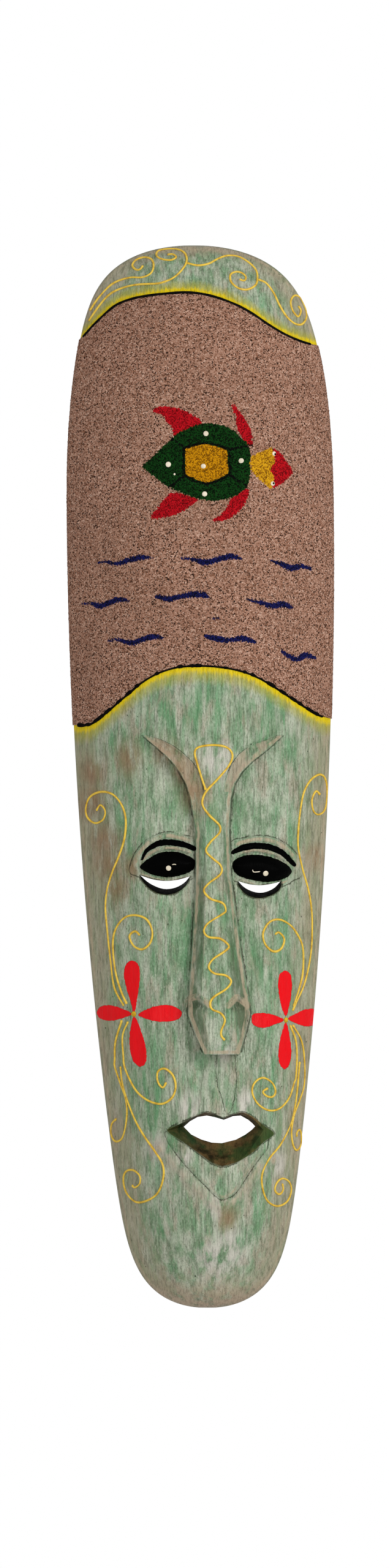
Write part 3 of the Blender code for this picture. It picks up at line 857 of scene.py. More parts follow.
lip_edge = np.array(MOUTH_EDGE)
throat = np.array(MOUTH_THROAT)
lips = plain_depth(MOUTH_EDGE).mean()
cutters = [hollow, block_from_rings("mouth", (
    ring_at(lip_edge, lips + PAST), ring_at(lip_edge, lips), ring_at(throat, lips - WALL),
    ring_at(throat, -PAST)))]
for side in SLIT_TOPS:
    rim_ring = slit_outline(SLIT_RIMS[side], side)
    slit_ring = slit_outline(SLIT_BOTTOMS[side], side)
    surface = plain_depth(rim_ring)
    cutters.append(block_from_rings("crescent_" + side, (
        ring_at(rim_ring, surface + PAST), ring_at(rim_ring, surface + SLIT_BEVEL),
        ring_at(slit_ring, surface - SLIT_TAPER * WALL), ring_at(slit_ring, EDGE_THICKNESS))))
turn = np.linspace(0, 2 * np.pi, NAIL_HOLE_SIDES, endpoint=False)
hole = np.stack((np.cos(turn), np.sin(turn)), axis=-1) * NAIL_HOLE_RADIUS
hole_rings = [np.stack((hole[:, 0], np.full(len(hole), y), hole[:, 1]), axis=-1)
              for y in (-NAIL_HOLE_DEPTH, PAST)]
cutters.append(block_from_rings("nail_hole", hole_rings))
print("cutting blocks:", [cutter.name for cutter in cutters])

# %% [markdown]
# # Cutting
#
# Each block is subtracted with a Boolean modifier, and the result is kept as a plain
# mesh, so that the paint can be worked out for every point of it. The blocks have done
# their work then, and are removed.
#
# The mesh is shaded smooth, apart from edges that turn by more than 38 degrees. These
# stay sharp, as a chisel leaves them.

# %% Carve the block
SHARP_FROM = np.radians(38)


def carve(target, tools):
    """Subtract the tools from the target and keep the result."""
    for tool in tools:
        step = target.modifiers.new(tool.name, "BOOLEAN")
        step.operation = "DIFFERENCE"
        step.solver = "EXACT"
        step.object = tool
    graph = bpy.context.evaluated_depsgraph_get()
    mesh = bpy.data.meshes.new_from_object(target.evaluated_get(graph))
    target.modifiers.clear()
    target.data = mesh
    for tool in tools:
        bpy.data.objects.remove(tool)


carve(block, cutters)
mask = block
work.objects.unlink(mask)
bpy.context.scene.collection.objects.link(mask)
mask.data.shade_smooth()
mask.data.set_sharp_from_angle(angle=SHARP_FROM)
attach(mask, "root")
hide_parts(MASK)
print("carved mask:", len(mask.data.vertices), "points")

# %% [markdown]
# # Where the paint goes
#
# The painter's marks are stored on the points of the mesh as named numbers. Each number
# says how many millimetres a point lies inside a painted shape, and a negative number
# means outside. The material will only ask whether the number is above zero.
#
# A painted picture laid over the mask would be the usual way. The numbers need no
# unwrapping, and their edge stays crisp however close the camera comes.

# %% Places of the paint on the wood
LID_STRIPES = {
    "left": ((-27.6, 211.0, 0.5), (-24.8, 215.6, 1), (-19.3, 218.7, 1.4), (-13.6, 219.1, 1.5),
             (-7.8, 218.1, 1.4), (-2.9, 216.2, 1.1)),
    "right": ((15.3, 214.5, 1), (20.4, 216.8, 1.5), (26.3, 217.5, 1.5), (32.6, 216.8, 1.5),
              (38.4, 214.2, 1.4), (42.1, 210.7, 1.2), (44.2, 208.4, 0.8)),
}
PETALS = {
    "left_up": ((-31.2, 139.1), (-32.9, 144.9), (-34.9, 151.8), (-35.9, 157.6), (-34.9, 162.0),
                (-32.3, 163.7), (-29.4, 162.2), (-28.3, 157.6), (-28.9, 150.7), (-30.0, 143.8)),
    "left_left": ((-32.0, 138.6), (-37.0, 141.2), (-42.4, 142.5), (-46.5, 142.0), (-48.8, 139.1),
                  (-47.1, 136.3), (-42.4, 135.2), (-37.0, 136.5)),
    "left_right": ((-29.2, 138.3), (-24.2, 141.2), (-18.2, 142.9), (-12.4, 142.3), (-8.7, 139.7),
                   (-10.1, 136.5), (-15.9, 135.1), (-22.8, 135.7)),
    "left_down": ((-30.9, 137.4), (-32.9, 131.1), (-33.2, 123.8), (-31.8, 117.2), (-28.6, 114.0),
                  (-25.7, 115.8), (-25.4, 121.8), (-27.1, 128.8)),
    "right_up": ((40.1, 137.4), (37.5, 144.3), (36.5, 151.8), (37.2, 157.0), (39.8, 158.9),
                 (42.4, 157.0), (43.0, 151.3), (42.1, 144.3)),
    "right_left": ((39.3, 135.7), (34.6, 138.1), (29.2, 139.1), (24.8, 138.6), (24.0, 136.0),
                   (25.1, 133.4), (29.7, 132.2), (34.9, 133.7)),
    "right_right": ((41.3, 136.3), (45.3, 138.9), (49.9, 140.6), (54.0, 140.0), (54.0, 133.7),
                    (49.9, 132.5), (45.3, 133.9)),
    "right_down": ((40.1, 134.5), (37.8, 128.2), (36.7, 121.0), (37.2, 115.2), (39.5, 112.6),
                   (41.9, 114.9), (42.7, 121.2), (41.9, 128.2)),
}
TOP_BORDER = ((-58.6, 453.8), (-55.4, 456.7), (-48.5, 463.9), (-40.1, 471.1), (-31.8, 474.3),
              (-23.1, 475.8), (-14.7, 476.6), (-7.2, 477.0), (-1.2, 476.6), (6.4, 475.0),
              (15.0, 472.0), (23.4, 467.8), (31.8, 462.2), (40.4, 457.3), (48.8, 454.1),
              (55.6, 452.7), (59.2, 452.4))
LOW_BORDER = ((-60.3, 274.2), (-52.8, 274.5), (-48.5, 276.6), (-41.9, 282.0), (-33.3, 289.3),
              (-27.4, 294.2), (-19.1, 298.8), (-10.4, 301.4), (-2.0, 302.0), (6.4, 301.7),
              (15.0, 300.5), (23.4, 298.1), (31.8, 293.9), (40.4, 288.4), (48.8, 282.9),
              (55.6, 279.0), (62.1, 277.1))
STAINS = ((-7.8, 252.9, 6), (-2.6, 241.9, 6), (-16.5, 261.5, 5), (-44.7, 220.6, 6),
          (-43.0, 209.0, 6), (-32.0, 207.3, 4), (-51.1, 251.7, 5), (-51.1, 237.9, 6),
          (13.0, 43.0, 4), (-39.5, 197.5, 5), (-33.8, 258.1, 6), (54.3, 211.9, 4))
# Painted highlights: pale patches where the forehead bulge, lips, cheek knobs, nose base and chin catch
# the light.
PAINTED_HIGHLIGHTS = ((7.8, 257.5, 6), (-4.9, 95.0, 4.5), (21.1, 96.4, 4.5), (7.2, 47.9, 4),
              (6.6, 24.2, 7), (13.0, 28.6, 7), (-7.8, 71.9, 3), (35.5, 67.6, 4),
              (-20.5, 76.2, 4), (10.1, 119.5, 4))
GREEN_SPOTS = ((-16.5, 181.6, 4), (5.2, 232.1, 6), (-22.2, 102.2, 12), (0.9, 183.0, 9),
               (9.5, 148.4, 8), (-18.8, 43.0, 7), (26.8, 165.7, 12), (-4.9, 284.1, 12),
               (29.7, 275.4, 10), (39.8, 494.8, 9), (-10.7, 82.3, 6), (32.0, 81.4, 5.5))
SPOT_SQUEEZE = 0.8


def spots_by(spots, x, z):
    """Strength from 0 to 1 of soft round patches given as (right, up, radius)."""
    strength = np.zeros(x.shape)
    for right, up, radius in spots:
        gap = np.hypot(x - right, (z - up) * SPOT_SQUEEZE)
        strength = np.maximum(strength, hump(gap / (2 * radius)))
    return strength


print("petals:", len(PETALS), "stains and spots:", len(STAINS) + len(PAINTED_HIGHLIGHTS) + len(GREEN_SPOTS))

# %% [markdown]
# # Worn edges and dark creases
#
# Paint rubs off where the wood stands out and pools where it dips. To find these places
# we lay an even grid over the front, soften its depths, and compare. Where the wood
# stands in front of the softened surface it is an edge, where it lies behind it is a
# crease. Blender has a pointiness input for this, but it depends on how fine the mesh is.

# %% Find the edges and creases
EVEN_STEP = 0.4
FEW_PASSES = 3
MANY_PASSES = 10
EDGE_SCALE = 0.13


def blur(values, passes):
    """Soften rows and columns of numbers by mixing each with its neighbours."""
    for _ in range(passes):
        padded = np.pad(values, 1, mode="edge")
        values = (padded[:-2, 1:-1] + padded[2:, 1:-1] + padded[1:-1, :-2]
                  + padded[1:-1, 2:] + padded[1:-1, 1:-1]) / 5
    return values


even_right = np.arange(-500 * WIDTH, 500 * WIDTH, EVEN_STEP)
even_up = np.arange(0.0, LENGTH / MM, EVEN_STEP)
even_x, even_z = np.meshgrid(even_right * MM, CHIN + even_up * MM)
even_share = np.clip(share_of(even_z), 0.0, 1.0)
even_across = np.clip(across_of(even_x, even_z), -1.0, 1.0)
even_depth = -front_points(even_across, even_share)[:, :, 1] / MM
stands_out = (blur(even_depth, FEW_PASSES) - blur(even_depth, MANY_PASSES)) / EDGE_SCALE
print(f"edges stand out by up to {stands_out.max() * EDGE_SCALE:.2f} mm")

# %% Helpers for the marks
def points_of(thing):
    """All points of a mesh object as an array."""
    flat = np.empty(len(thing.data.vertices) * 3, dtype=np.float32)
    thing.data.vertices.foreach_get("co", flat)
    return flat.reshape(-1, 3).astype(float)


def right_and_up(points):
    """Millimetres to the right and up, of points given in metres."""
    return points[:, 0] / MM, (points[:, 2] - CHIN) / MM


def store(thing, marks):
    """Keep numbers for every point of the mesh, under names that materials can read."""
    for name, values in marks.items():
        attribute = thing.data.attributes.new(name, "FLOAT", "POINT")
        attribute.data.foreach_set("value", np.asarray(values, dtype=np.float32))


def border_gap(border, x, z):
    """Height in millimetres above a border line that runs from left to right."""
    path = smooth_path(border)
    return z - np.interp(x, path[:, 0], path[:, 1])


def only(allowed, values):
    """The values where they are allowed, and far outside the shape elsewhere."""
    return np.where(allowed, values, -REACH)


where = points_of(mask)
right, up = right_and_up(where)
share = np.clip(share_of(where[:, 2]), 0.0, 1.0)
across = across_of(where[:, 0], where[:, 2])
print("points to mark:", len(where))

# %% Wear and creases on every point
CREST_WEAR = 0.4
CREST_FROM = 0.35
NOSTRIL_WEAR = 1.6
NOSTRIL_WEAR_HALF = 1.7
NOSTRIL_WEAR_CORE = 1.3
EDGE_LIMIT = 1.5

column = (right - even_right[0]) / EVEN_STEP
row = (up - even_up[0]) / EVEN_STEP
low_column = np.clip(column.astype(int), 0, len(even_right) - 2)
low_row = np.clip(row.astype(int), 0, len(even_up) - 2)
part_column = np.clip(column - low_column, 0.0, 1.0)
part_row = np.clip(row - low_row, 0.0, 1.0)
edges = sum(stands_out[low_row + down, low_column + over]
            * np.abs(1 - down - part_row) * np.abs(1 - over - part_column)
            for down in (0, 1) for over in (0, 1))
edges[where[:, 1] > -EDGE_THICKNESS] = 0.0
_, climb = nose_depth(across, share)
on_face = (share > NOSE_BASE) & (share < BROW_TOP)
edges[on_face & (climb > CREST_FROM)] *= CREST_WEAR
for line in NOSTRIL_RIDGES.values():
    rubbed = NOSTRIL_WEAR * ease(NOSTRIL_WEAR_CORE - gap_to(line, right, up) / NOSTRIL_WEAR_HALF)
    edges = np.maximum(edges, rubbed)
store(mask, {"worn": np.clip(edges, 0.0, EDGE_LIMIT), "crease": np.clip(-edges, 0.0, EDGE_LIMIT)})
print("rubbed points:", int((edges > 1.0).sum()))

# %% [markdown]
# # One number for each mark
#
# Every painted or scored shape is now measured on the finished mesh, and stored under a
# name of its own. Some numbers are distances in millimetres, such as petals. Others are
# strengths from 0 to 1, such as stain. Painted vertex colours could hold them too, but a
# byte colour is cut off at 0 and 1, and a distance must not be.

# %% Shapes and shades on every point
CHIN_HIGHLIGHT_REACH = 6.0
NOSTRIL_SHADE_REACH = 3.2
WINGS_FROM = 0.485
RIM_AT_CHIN = 1.3
RIM_AT_CROWN = 1.8
RIM_LIMIT = 60.0
CHIN_END = 22.0
SHADE_RISE = 0.2
SHADE_END = 1.1
SHADE_FALL = 0.4
LIDS_FROM_NOSE = 1.0
UNDER_NOSE = 0.001

room = half_width(share) / MM
outer_left, inner_left, inner_right, outer_right = carved_lines(share)
nose_edge = np.minimum(across - outer_left, outer_right - across) * room
wing_edge = np.maximum(inner_left - across, across - inner_right) * room
# Painted shade on the sloping side planes of the nose, as strong as SIDE_SHADE_ALONG says.
painted_nose_shade = ease(climb / SHADE_RISE) * ease((SHADE_END - climb) / SHADE_FALL)
painted_nose_shade *= read_along(SIDE_SHADE_ALONG, share)
lids = inside_any([OUTER_LIDS[side] + LOWER_LIDS[side][::-1] for side in OUTER_LIDS], right, up)
slits = np.maximum.reduce([
    inside_by(slit_outline(SLIT_RIMS[side], side), right, up) for side in SLIT_RIMS])
from_end = np.minimum(RIM_AT_CHIN * share, RIM_AT_CROWN * (1 - share)) * LENGTH / MM
store(mask, {
    "painted_nose_shade": np.where(on_face & (climb > 0), painted_nose_shade, 0.0),
    "nose_edge": only(on_face, nose_edge),
    "wing_edge": only(on_face & (share > WINGS_FROM), wing_edge),
    "philtrum": only(share < NOSE_BASE - UNDER_NOSE, inside_any((PHILTRUM,), right, up)),
    "lids": only(nose_edge <= -LIDS_FROM_NOSE, lids),
    "lower_lip": inside_any((LIP_CREASE + LIP_TOP,), right, up),
    "cut_edge": np.maximum(inside_any((MOUTH_EDGE,), right, up), slits),
    "slits": slits,
    # shade: a painted shade under each nostril arch.
    "shade": np.maximum.reduce([hump(gap_to(line, right, up) / NOSTRIL_SHADE_REACH)
                                for line in NOSTRIL_HOLLOWS.values()]),
    # A pale band along the fold under the lower lip: a painted highlight where the chin rises.
    "chin_highlight": hump(gap_to(LIP_FOLD, right, up) / CHIN_HIGHLIGHT_REACH),
    "eye_paint": np.maximum(inside_any(EYE_OUTLINES.values(), right, up),
                            strokes_by(LID_STRIPES.values(), right, up)),
    "petals": inside_any(PETALS.values(), right, up),
    "top_band": border_gap(TOP_BORDER, right, up),
    "low_band": -border_gap(LOW_BORDER, right, up),
    "stain": spots_by(STAINS, right, up),
    "pale": spots_by(PAINTED_HIGHLIGHTS, right, up),
    "green": spots_by(GREEN_SPOTS, right, up),
    "from_rim": np.clip(np.minimum((1 - np.abs(across)) * room, from_end), 0.0, RIM_LIMIT),
    "chin_end": ease(1.0 - up / CHIN_END)})
print("marks stored:", [item.name for item in mask.data.attributes if item.data_type == "FLOAT"])

# %% [markdown]
# # The sand coat
#
# The forehead is covered with sand that was sprinkled on wet glue between two painted
# borders. It stands about half a millimetre over the wood and wraps round the sides.
#
# It could be a bump on the wood's own material, but a real coat has an edge, so it is a
# skin of its own: the same front, laid between the borders and pushed out along its
# normals, with every point moved a little at random, as grains lie.

# %% Where the coat lies
COAT_ROWS = 300
COAT_COLUMNS = 176
COAT_SIDE_STEPS = 5
COAT_SIDE_END = 0.0030
BORDER_PASSES = 6


def height_on_border(border, places_across):
    """Height where a border line meets each place across, in metres."""
    path = smooth_path(border)
    height = np.full(places_across.shape, CHIN + np.mean(path[:, 1]) * MM)
    for _ in range(BORDER_PASSES):
        share = share_of(height)
        x = middle(share) + places_across * half_width(share)
        height = CHIN + np.interp(x / MM, path[:, 0], path[:, 1]) * MM
    return height


coat_across = np.linspace(-1, 1, COAT_COLUMNS)
coat_low = height_on_border(LOW_BORDER, coat_across)
coat_high = height_on_border(TOP_BORDER, coat_across)
climb = np.linspace(0, 1, COAT_ROWS)[:, None]
coat_share = share_of(coat_low + (coat_high - coat_low) * climb)
coat = front_points(np.broadcast_to(coat_across, coat_share.shape), coat_share)
side_step = np.arange(1, COAT_SIDE_STEPS + 1) / COAT_SIDE_STEPS
sides = []
for column in (0, -1):
    start = coat[:, column][:, None, :]
    side = np.repeat(start, COAT_SIDE_STEPS, axis=1)
    side[:, :, 1] += (-COAT_SIDE_END - start[:, :, 1]) * side_step
    sides.append(side)
coat = np.concatenate((sides[0][:, ::-1], coat, sides[1]), axis=1)
print("coat laid out:", coat.shape[0], "rows of", coat.shape[1])

# %% The skin of sand
COAT_THICKNESS = 0.50
COAT_EDGE = 0.70
GRAIN_HEIGHT = 0.07
GRAIN_SEED = 3

normals = np.cross(np.gradient(coat, axis=1), np.gradient(coat, axis=0))
normals /= np.linalg.norm(normals, axis=2, keepdims=True)
grains = np.random.default_rng(GRAIN_SEED).normal(0.0, GRAIN_HEIGHT, coat.shape[:2])
skin = coat + normals * MM * (COAT_THICKNESS + grains)[:, :, None]
skin = np.pad(skin, ((1, 1), (1, 1), (0, 0)), mode="edge")
skirt = np.pad(coat - normals * MM * COAT_EDGE, ((1, 1), (1, 1), (0, 0)), mode="edge")
rim_of_skin = np.ones(skin.shape[:2], dtype=bool)
rim_of_skin[1:-1, 1:-1] = False
skin[rim_of_skin] = skirt[rim_of_skin]

visible = bpy.context.scene.collection
sand = add_object("sand_coat", sheet_mesh(skin), visible)
sand.data.shade_smooth()
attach(sand, "root")
print("sand coat:", len(sand.data.polygons), "faces")

# %% [markdown]
# # The turtle and the waves
#
# The picture on the forehead is painted over the sand with a wide brush, so its edges
# are a little ragged and the grains show through. Again each colour gets its own number
# on the points of the mesh. Later colours are laid over earlier ones, in the order that
# the painter used: flippers, shell, the plate on top, its dark lines, then the head.

# %% Places of the painted picture
FLIPPERS = (
    ((-22.5, 421.2), (-18.6, 423.4), (-10.7, 422.3), (-4.2, 419.7), (0.6, 415.1), (-6.4, 411.1),
     (-12.1, 409.4), (-13.0, 412.5), (-13.9, 414.7), (-16.2, 416.1), (-17.2, 418.6),
     (-18.8, 419.7)),
    ((15.3, 424.8), (18.2, 421.2), (21.8, 416.1), (24.0, 411.1), (24.2, 405.3), (21.1, 405.3),
     (18.2, 410.4), (17.0, 414.0), (16.7, 418.3), (15.0, 421.9)),
    ((-23.4, 371.0), (-20.1, 375.7), (-16.5, 380.5), (-12.8, 382.9), (-4.9, 381.5),
     (-0.9, 380.1), (-4.9, 376.4), (-10.7, 372.8), (-17.9, 371.0)),
    ((5.2, 369.5), (9.5, 372.8), (13.1, 377.2), (14.6, 380.5), (21.8, 385.1), (22.2, 380.8),
     (18.9, 375.0), (13.9, 371.0), (8.1, 369.2)),
)
SHELL = ((-27.0, 395.5), (-22.8, 399.5), (-18.2, 403.9), (-13.0, 408.8), (-7.8, 412.2),
         (-2.0, 414.5), (4.0, 415.4), (10.1, 414.5), (15.3, 412.2), (19.9, 408.2), (22.8, 404.7),
         (23.7, 398.1), (23.4, 390.9), (21.7, 385.4), (16.7, 381.4), (10.1, 379.3), (4.0, 379.0),
         (-2.6, 380.2), (-8.4, 382.5), (-14.7, 385.4), (-19.9, 388.9), (-24.2, 392.3))
PLATE = ((-7.5, 403.9), (2.6, 406.0), (12.7, 403.0), (13.3, 391.5), (3.2, 387.1), (-6.9, 390.9))
PLATE_LINES = (
    ((-7.5, 403.9, 0.62), (2.6, 406.0, 0.5), (12.7, 403.0, 0.62), (13.3, 397.2, 0.7),
     (13.3, 391.5, 0.62), (3.2, 387.1, 0.5), (-6.9, 390.9, 0.6), (-7.8, 397.2, 0.65),
     (-7.5, 403.9, 0.62)),
    ((-7.5, 403.9, 0.62), (-10.7, 406.2, 0.5), (-13.6, 408.2, 0.4)),
    ((12.7, 403.0, 0.62), (18.8, 404.2, 0.55), (24.5, 405.0, 0.4)),
    ((-6.9, 390.9, 0.6), (-10.7, 388.3, 0.5), (-14.7, 385.4, 0.4)),
    ((13.3, 391.5, 0.62), (17.6, 388.6, 0.5), (21.9, 386.0, 0.4)),
)
NECK = ((23.7, 399.5), (29.7, 402.7), (34.1, 403.6), (35.5, 395.2), (33.8, 385.4), (29.7, 387.3),
        (26.1, 390.9), (23.7, 393.8))
TURTLE_HEAD = ((33.8, 403.3), (37.0, 402.4), (40.4, 397.8), (43.4, 393.0), (41.0, 390.0),
                  (38.4, 387.3), (33.5, 385.4), (34.6, 389.4), (32.9, 393.8), (34.9, 398.1))
WAVES = (
    ((-48.5, 350.2, 0.4), (-44.5, 350.8, 0.7), (-39.5, 349.7, 1), (-33.8, 351.3, 1.15),
     (-28.0, 352.5, 1.25), (-23.0, 352.5, 0.5)),
    ((-9.2, 352.2, 0.5), (-3.5, 351.6, 0.85), (2.3, 350.2, 1.4), (8.1, 351.6, 1.3),
     (13.9, 353.1, 1.4), (19.3, 351.9, 0.5)),
    ((32.9, 351.2, 0.5), (37.7, 349.7, 1.15), (42.7, 347.9, 1.55), (47.1, 348.7, 1.2),
     (52.1, 347.6, 0.7)),
    ((-55.7, 331.0, 0.4), (-51.1, 331.3, 0.9), (-46.8, 330.0, 1.4), (-41.7, 332.0, 1.2),
     (-37.4, 333.1, 1.3), (-33.3, 332.0, 0.5)),
    ((-20.5, 334.3, 0.9), (-15.0, 333.1, 1.4), (-9.2, 334.3, 1.1), (-3.5, 335.2, 1.55),
     (1.6, 334.9, 1.4), (3.8, 333.7, 0.6)),
    ((21.8, 332.9, 0.4), (27.6, 331.7, 0.9), (33.3, 330.0, 1.4), (38.4, 330.8, 1.5),
     (42.7, 329.4, 0.8)),
    ((-43.2, 313.7, 0.5), (-38.1, 314.1, 0.8), (-32.3, 312.6, 1.3), (-26.6, 314.4, 1.3),
     (-21.5, 315.5, 1.3), (-17.6, 315.0, 0.6)),
    ((2.3, 315.8, 0.9), (8.1, 314.4, 1.4), (13.9, 313.8, 1.1), (19.6, 314.7, 1.4),
     (25.7, 312.9, 0.8)),
    ((38.4, 308.6, 0.8), (41.6, 306.4, 1.2), (45.6, 305.0, 1.3), (49.2, 306.9, 1.55),
     (54.0, 305.7, 0.6)),
    ((6.1, 324.2, 0.4), (7.5, 323.9, 0.5), (8.7, 324.2, 0.3)),
)

right, up = right_and_up(points_of(sand))
store(sand, {
    "flippers": inside_any(FLIPPERS, right, up),
    "shell": inside_any((SHELL,), right, up),
    "plate": inside_by(np.array(PLATE), right, up),
    "plate_lines": strokes_by(PLATE_LINES, right, up),
    "neck": inside_any((NECK,), right, up),
    "head": inside_any((TURTLE_HEAD,), right, up),
    "waves": strokes_by(WAVES, right, up)})
print("waves painted:", len(WAVES))

# %% [markdown]
# # Raised paste lines
#
# The yellow scrolls are squeezed from a small cone, like icing: a round line that sinks a
# little into the paint, a bit thicker where the hand slowed down, with a bead where it
# stopped. On the real mask they catch the light, so they have to be real relief.
#
# A curve with a bevel is the quick way to make such a line. It would hang in the air
# wherever the wood dips. So each line is draped first: a ray is shot straight at the
# mask for every point of it, and a ring of points is set on what it hits.

# %% Draping lines on the mask
from mathutils import Vector
from mathutils.bvhtree import BVHTree

LINE_STEP = 0.45
SMOOTHING_PASSES = 3
LOOK_FROM = -0.2
INWARD = Vector((0.0, 1.0, 0.0))
graph = bpy.context.evaluated_depsgraph_get()
surfaces = [BVHTree.FromObject(thing, graph) for thing in (mask, sand)]


def touch(right, up):
    """The point of the mask in front of a place, and its normal."""
    start = Vector((right * MM, LOOK_FROM, CHIN + up * MM))
    hits = [surface.ray_cast(start, INWARD) for surface in surfaces]
    hits = [hit for hit in hits if hit[0] is not None]
    if not hits:
        return None
    nearest_hit = min(hits, key=lambda hit: hit[3])
    return np.array(nearest_hit[0]), np.array(nearest_hit[1])


def draped(places):
    """Points and softened normals of a drawn line laid on the mask."""
    path = smooth_path(places, step=LINE_STEP)
    found = [touch(place[0], place[1]) for place in path]
    kept = [index for index, hit in enumerate(found) if hit is not None]
    points = np.array([found[index][0] for index in kept])
    normals = np.array([found[index][1] for index in kept])
    for _ in range(SMOOTHING_PASSES):
        for values in (points, normals):
            values[1:-1] = (values[:-2] + 2 * values[1:-1] + values[2:]) / 4
    normals /= np.linalg.norm(normals, axis=1, keepdims=True)
    return points, normals


print("ready to drape on", len(surfaces), "surfaces")

# %% [markdown]
# # From a draped line to a round one
#
# Squeezed paste has a round back, an uneven width and thin ends. A ring of eight points is
# set round each place on the line, and the rings are joined into a closed skin. The same
# recipe, laid flatter, makes the thick black lines that a loaded brush leaves.

# %% Round lines and finished pieces
RING_SIDES = 8
WOBBLE = 0.07
WOBBLE_STEPS = 12
BEAD_REACH = 3.0
BEAD_INSET = 0.3
THINNEST_END = 0.02


def line_rings(points, normals, halves, flatness, lift):
    """Rings of a round line, from its half width at each place, flattened and lifted."""
    along = np.gradient(points, axis=0)
    sideways = np.cross(along, normals)
    sideways /= np.linalg.norm(sideways, axis=1, keepdims=True)
    turn = np.linspace(0, 2 * np.pi, RING_SIDES, endpoint=False)
    rings = []
    for point, side, normal, half in zip(points, sideways, normals, halves):
        reach = half * MM
        rings.append(point + np.outer(np.cos(turn) * reach, side)
                     + np.outer(np.sin(turn) * reach * flatness + lift * reach, normal))
    return rings


def piece_from(name, bm):
    """Finish a bmesh as a piece that rides on the mask."""
    bmesh.ops.recalc_face_normals(bm, faces=bm.faces)
    thing = add_object(name, bm, visible)
    thing.data.shade_smooth()
    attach(thing, "root")
    return thing


def round_lines(name, lines, half, seed, flatness, lift, bead):
    """A set of lines as one piece, swollen by bead where the hand stopped."""
    chance = np.random.default_rng(seed)
    bm = bmesh.new()
    for line in lines:
        points, normals = draped(line)
        steps = np.arange(len(points))
        knots = np.arange(0, len(points) + WOBBLE_STEPS, WOBBLE_STEPS)
        wobble = np.interp(steps, knots, chance.normal(0, WOBBLE, len(knots)))
        from_end = np.minimum(steps, steps[::-1]) * LINE_STEP / half
        round_end = np.sqrt(np.clip(1 - (1 - np.clip(from_end, THINNEST_END, 1.0)) ** 2, 0.0, 1.0))
        swelling = 1 + (bead - 1) * hump(from_end / BEAD_REACH - BEAD_INSET)
        halves = half * (1 + wobble) * round_end * swelling
        join_rings(bm, line_rings(points, normals, halves, flatness, lift))
    return piece_from(name, bm)


print("a line has", RING_SIDES, "sides and a ring every", LINE_STEP, "mm")

# %% [markdown]
# # The yellow scrolls
#
# The scrolls are drawn freely by hand, so no two are alike, and the left side is no mirror
# of the right. Copying one half over would save work, and would look stamped. So each
# scroll has places of its own. They are kept in four pieces: over the crown, on each
# cheek, and down the nose.

# %% The yellow scrolls
PASTE_HALF = 0.51
CROWN_SCROLLS = (
    ((-52.0, 469.1), (-47.3, 475.8), (-41.0, 481.8), (-33.3, 484.4), (-27.4, 484.4),
     (-23.1, 486.4), (-21.9, 490.2), (-23.1, 493.2), (-26.6, 494.1), (-30.3, 492.8),
     (-32.0, 490.2), (-30.3, 488.2), (-28.3, 488.2), (-26.8, 490.2)),
    ((-52.5, 464.2), (-48.5, 470.0), (-43.6, 475.8), (-38.4, 478.9), (-31.8, 480.7),
     (-24.8, 481.2), (-19.1, 481.5), (-13.0, 483.8), (-8.7, 487.7), (-6.4, 491.9), (-7.2, 495.7),
     (-10.4, 497.7), (-15.6, 498.0), (-19.9, 497.1), (-20.6, 494.8), (-18.2, 493.1),
     (-13.9, 492.5), (-11.3, 493.9), (-13.0, 495.4), (-15.6, 495.1)),
    ((-6.4, 491.1), (-1.2, 489.9), (4.0, 490.8), (8.1, 493.1), (12.4, 494.7), (17.5, 494.5),
     (22.5, 491.8), (26.0, 488.2), (26.8, 484.7), (26.0, 480.9), (22.2, 478.6), (17.9, 479.1),
     (14.4, 482.1), (14.1, 485.6), (16.7, 487.0), (19.6, 486.4), (21.4, 484.4), (20.5, 482.7),
     (18.2, 483.5)),
    ((27.1, 483.5), (30.9, 481.8), (34.4, 477.2), (37.0, 471.7), (40.4, 466.2), (44.5, 462.8),
     (47.9, 462.8), (49.9, 466.5), (48.8, 472.0), (46.8, 475.5), (44.2, 476.3), (42.4, 473.4),
     (43.3, 469.1), (45.9, 466.2), (47.3, 469.1), (45.9, 471.4)),
)
LEFT_SCROLLS = (
    ((-48.8, 233.8), (-46.9, 236.7), (-44.6, 233.8), (-45.6, 229.8), (-49.4, 228.1),
     (-52.8, 230.5), (-53.8, 234.7), (-52.0, 240.2), (-46.9, 242.8), (-41.0, 241.6),
     (-36.7, 236.4), (-34.9, 229.8), (-35.5, 221.1), (-38.1, 212.8), (-41.3, 205.1),
     (-43.6, 197.5), (-44.5, 188.8), (-43.6, 177.5), (-42.1, 164.0), (-40.3, 151.0),
     (-35.8, 142.3)),
    ((-28.3, 175.5), (-30.5, 177.5), (-33.2, 175.2), (-31.2, 170.6), (-27.1, 169.0),
     (-23.4, 172.2), (-22.5, 177.5), (-25.1, 183.0), (-30.5, 185.0), (-35.8, 183.6),
     (-39.8, 178.1), (-41.0, 170.6), (-39.8, 158.5), (-37.2, 149.5), (-34.4, 143.2)),
    ((-36.7, 135.7), (-39.8, 125.3), (-40.1, 117.2), (-40.1, 113.7), (-37.2, 105.2),
     (-34.9, 98.2), (-34.4, 91.2), (-35.5, 83.6), (-37.2, 79.4), (-40.1, 78.5), (-41.9, 82.0),
     (-41.6, 86.6), (-39.3, 89.2)),
    ((-37.4, 114.0), (-36.7, 106.8), (-34.6, 99.0), (-30.3, 88.3), (-25.7, 80.5), (-21.1, 74.2),
     (-17.6, 68.1), (-17.3, 61.9), (-19.9, 54.8), (-25.0, 51.0), (-30.3, 50.2), (-34.6, 54.3),
     (-36.1, 60.3), (-34.9, 64.4), (-31.5, 65.2), (-28.4, 62.6), (-28.4, 58.9), (-30.9, 56.9),
     (-32.0, 58.3)),
    ((-33.8, 135.1), (-36.4, 128.5), (-36.1, 119.2), (-35.5, 113.7), (-32.6, 106.8),
     (-28.9, 101.3), (-23.4, 97.6), (-17.6, 96.7), (-13.0, 99.9), (-11.5, 105.2), (-13.0, 110.3),
     (-16.7, 113.2), (-19.9, 111.7), (-19.9, 107.1), (-17.6, 104.2), (-15.9, 106.8)),
)
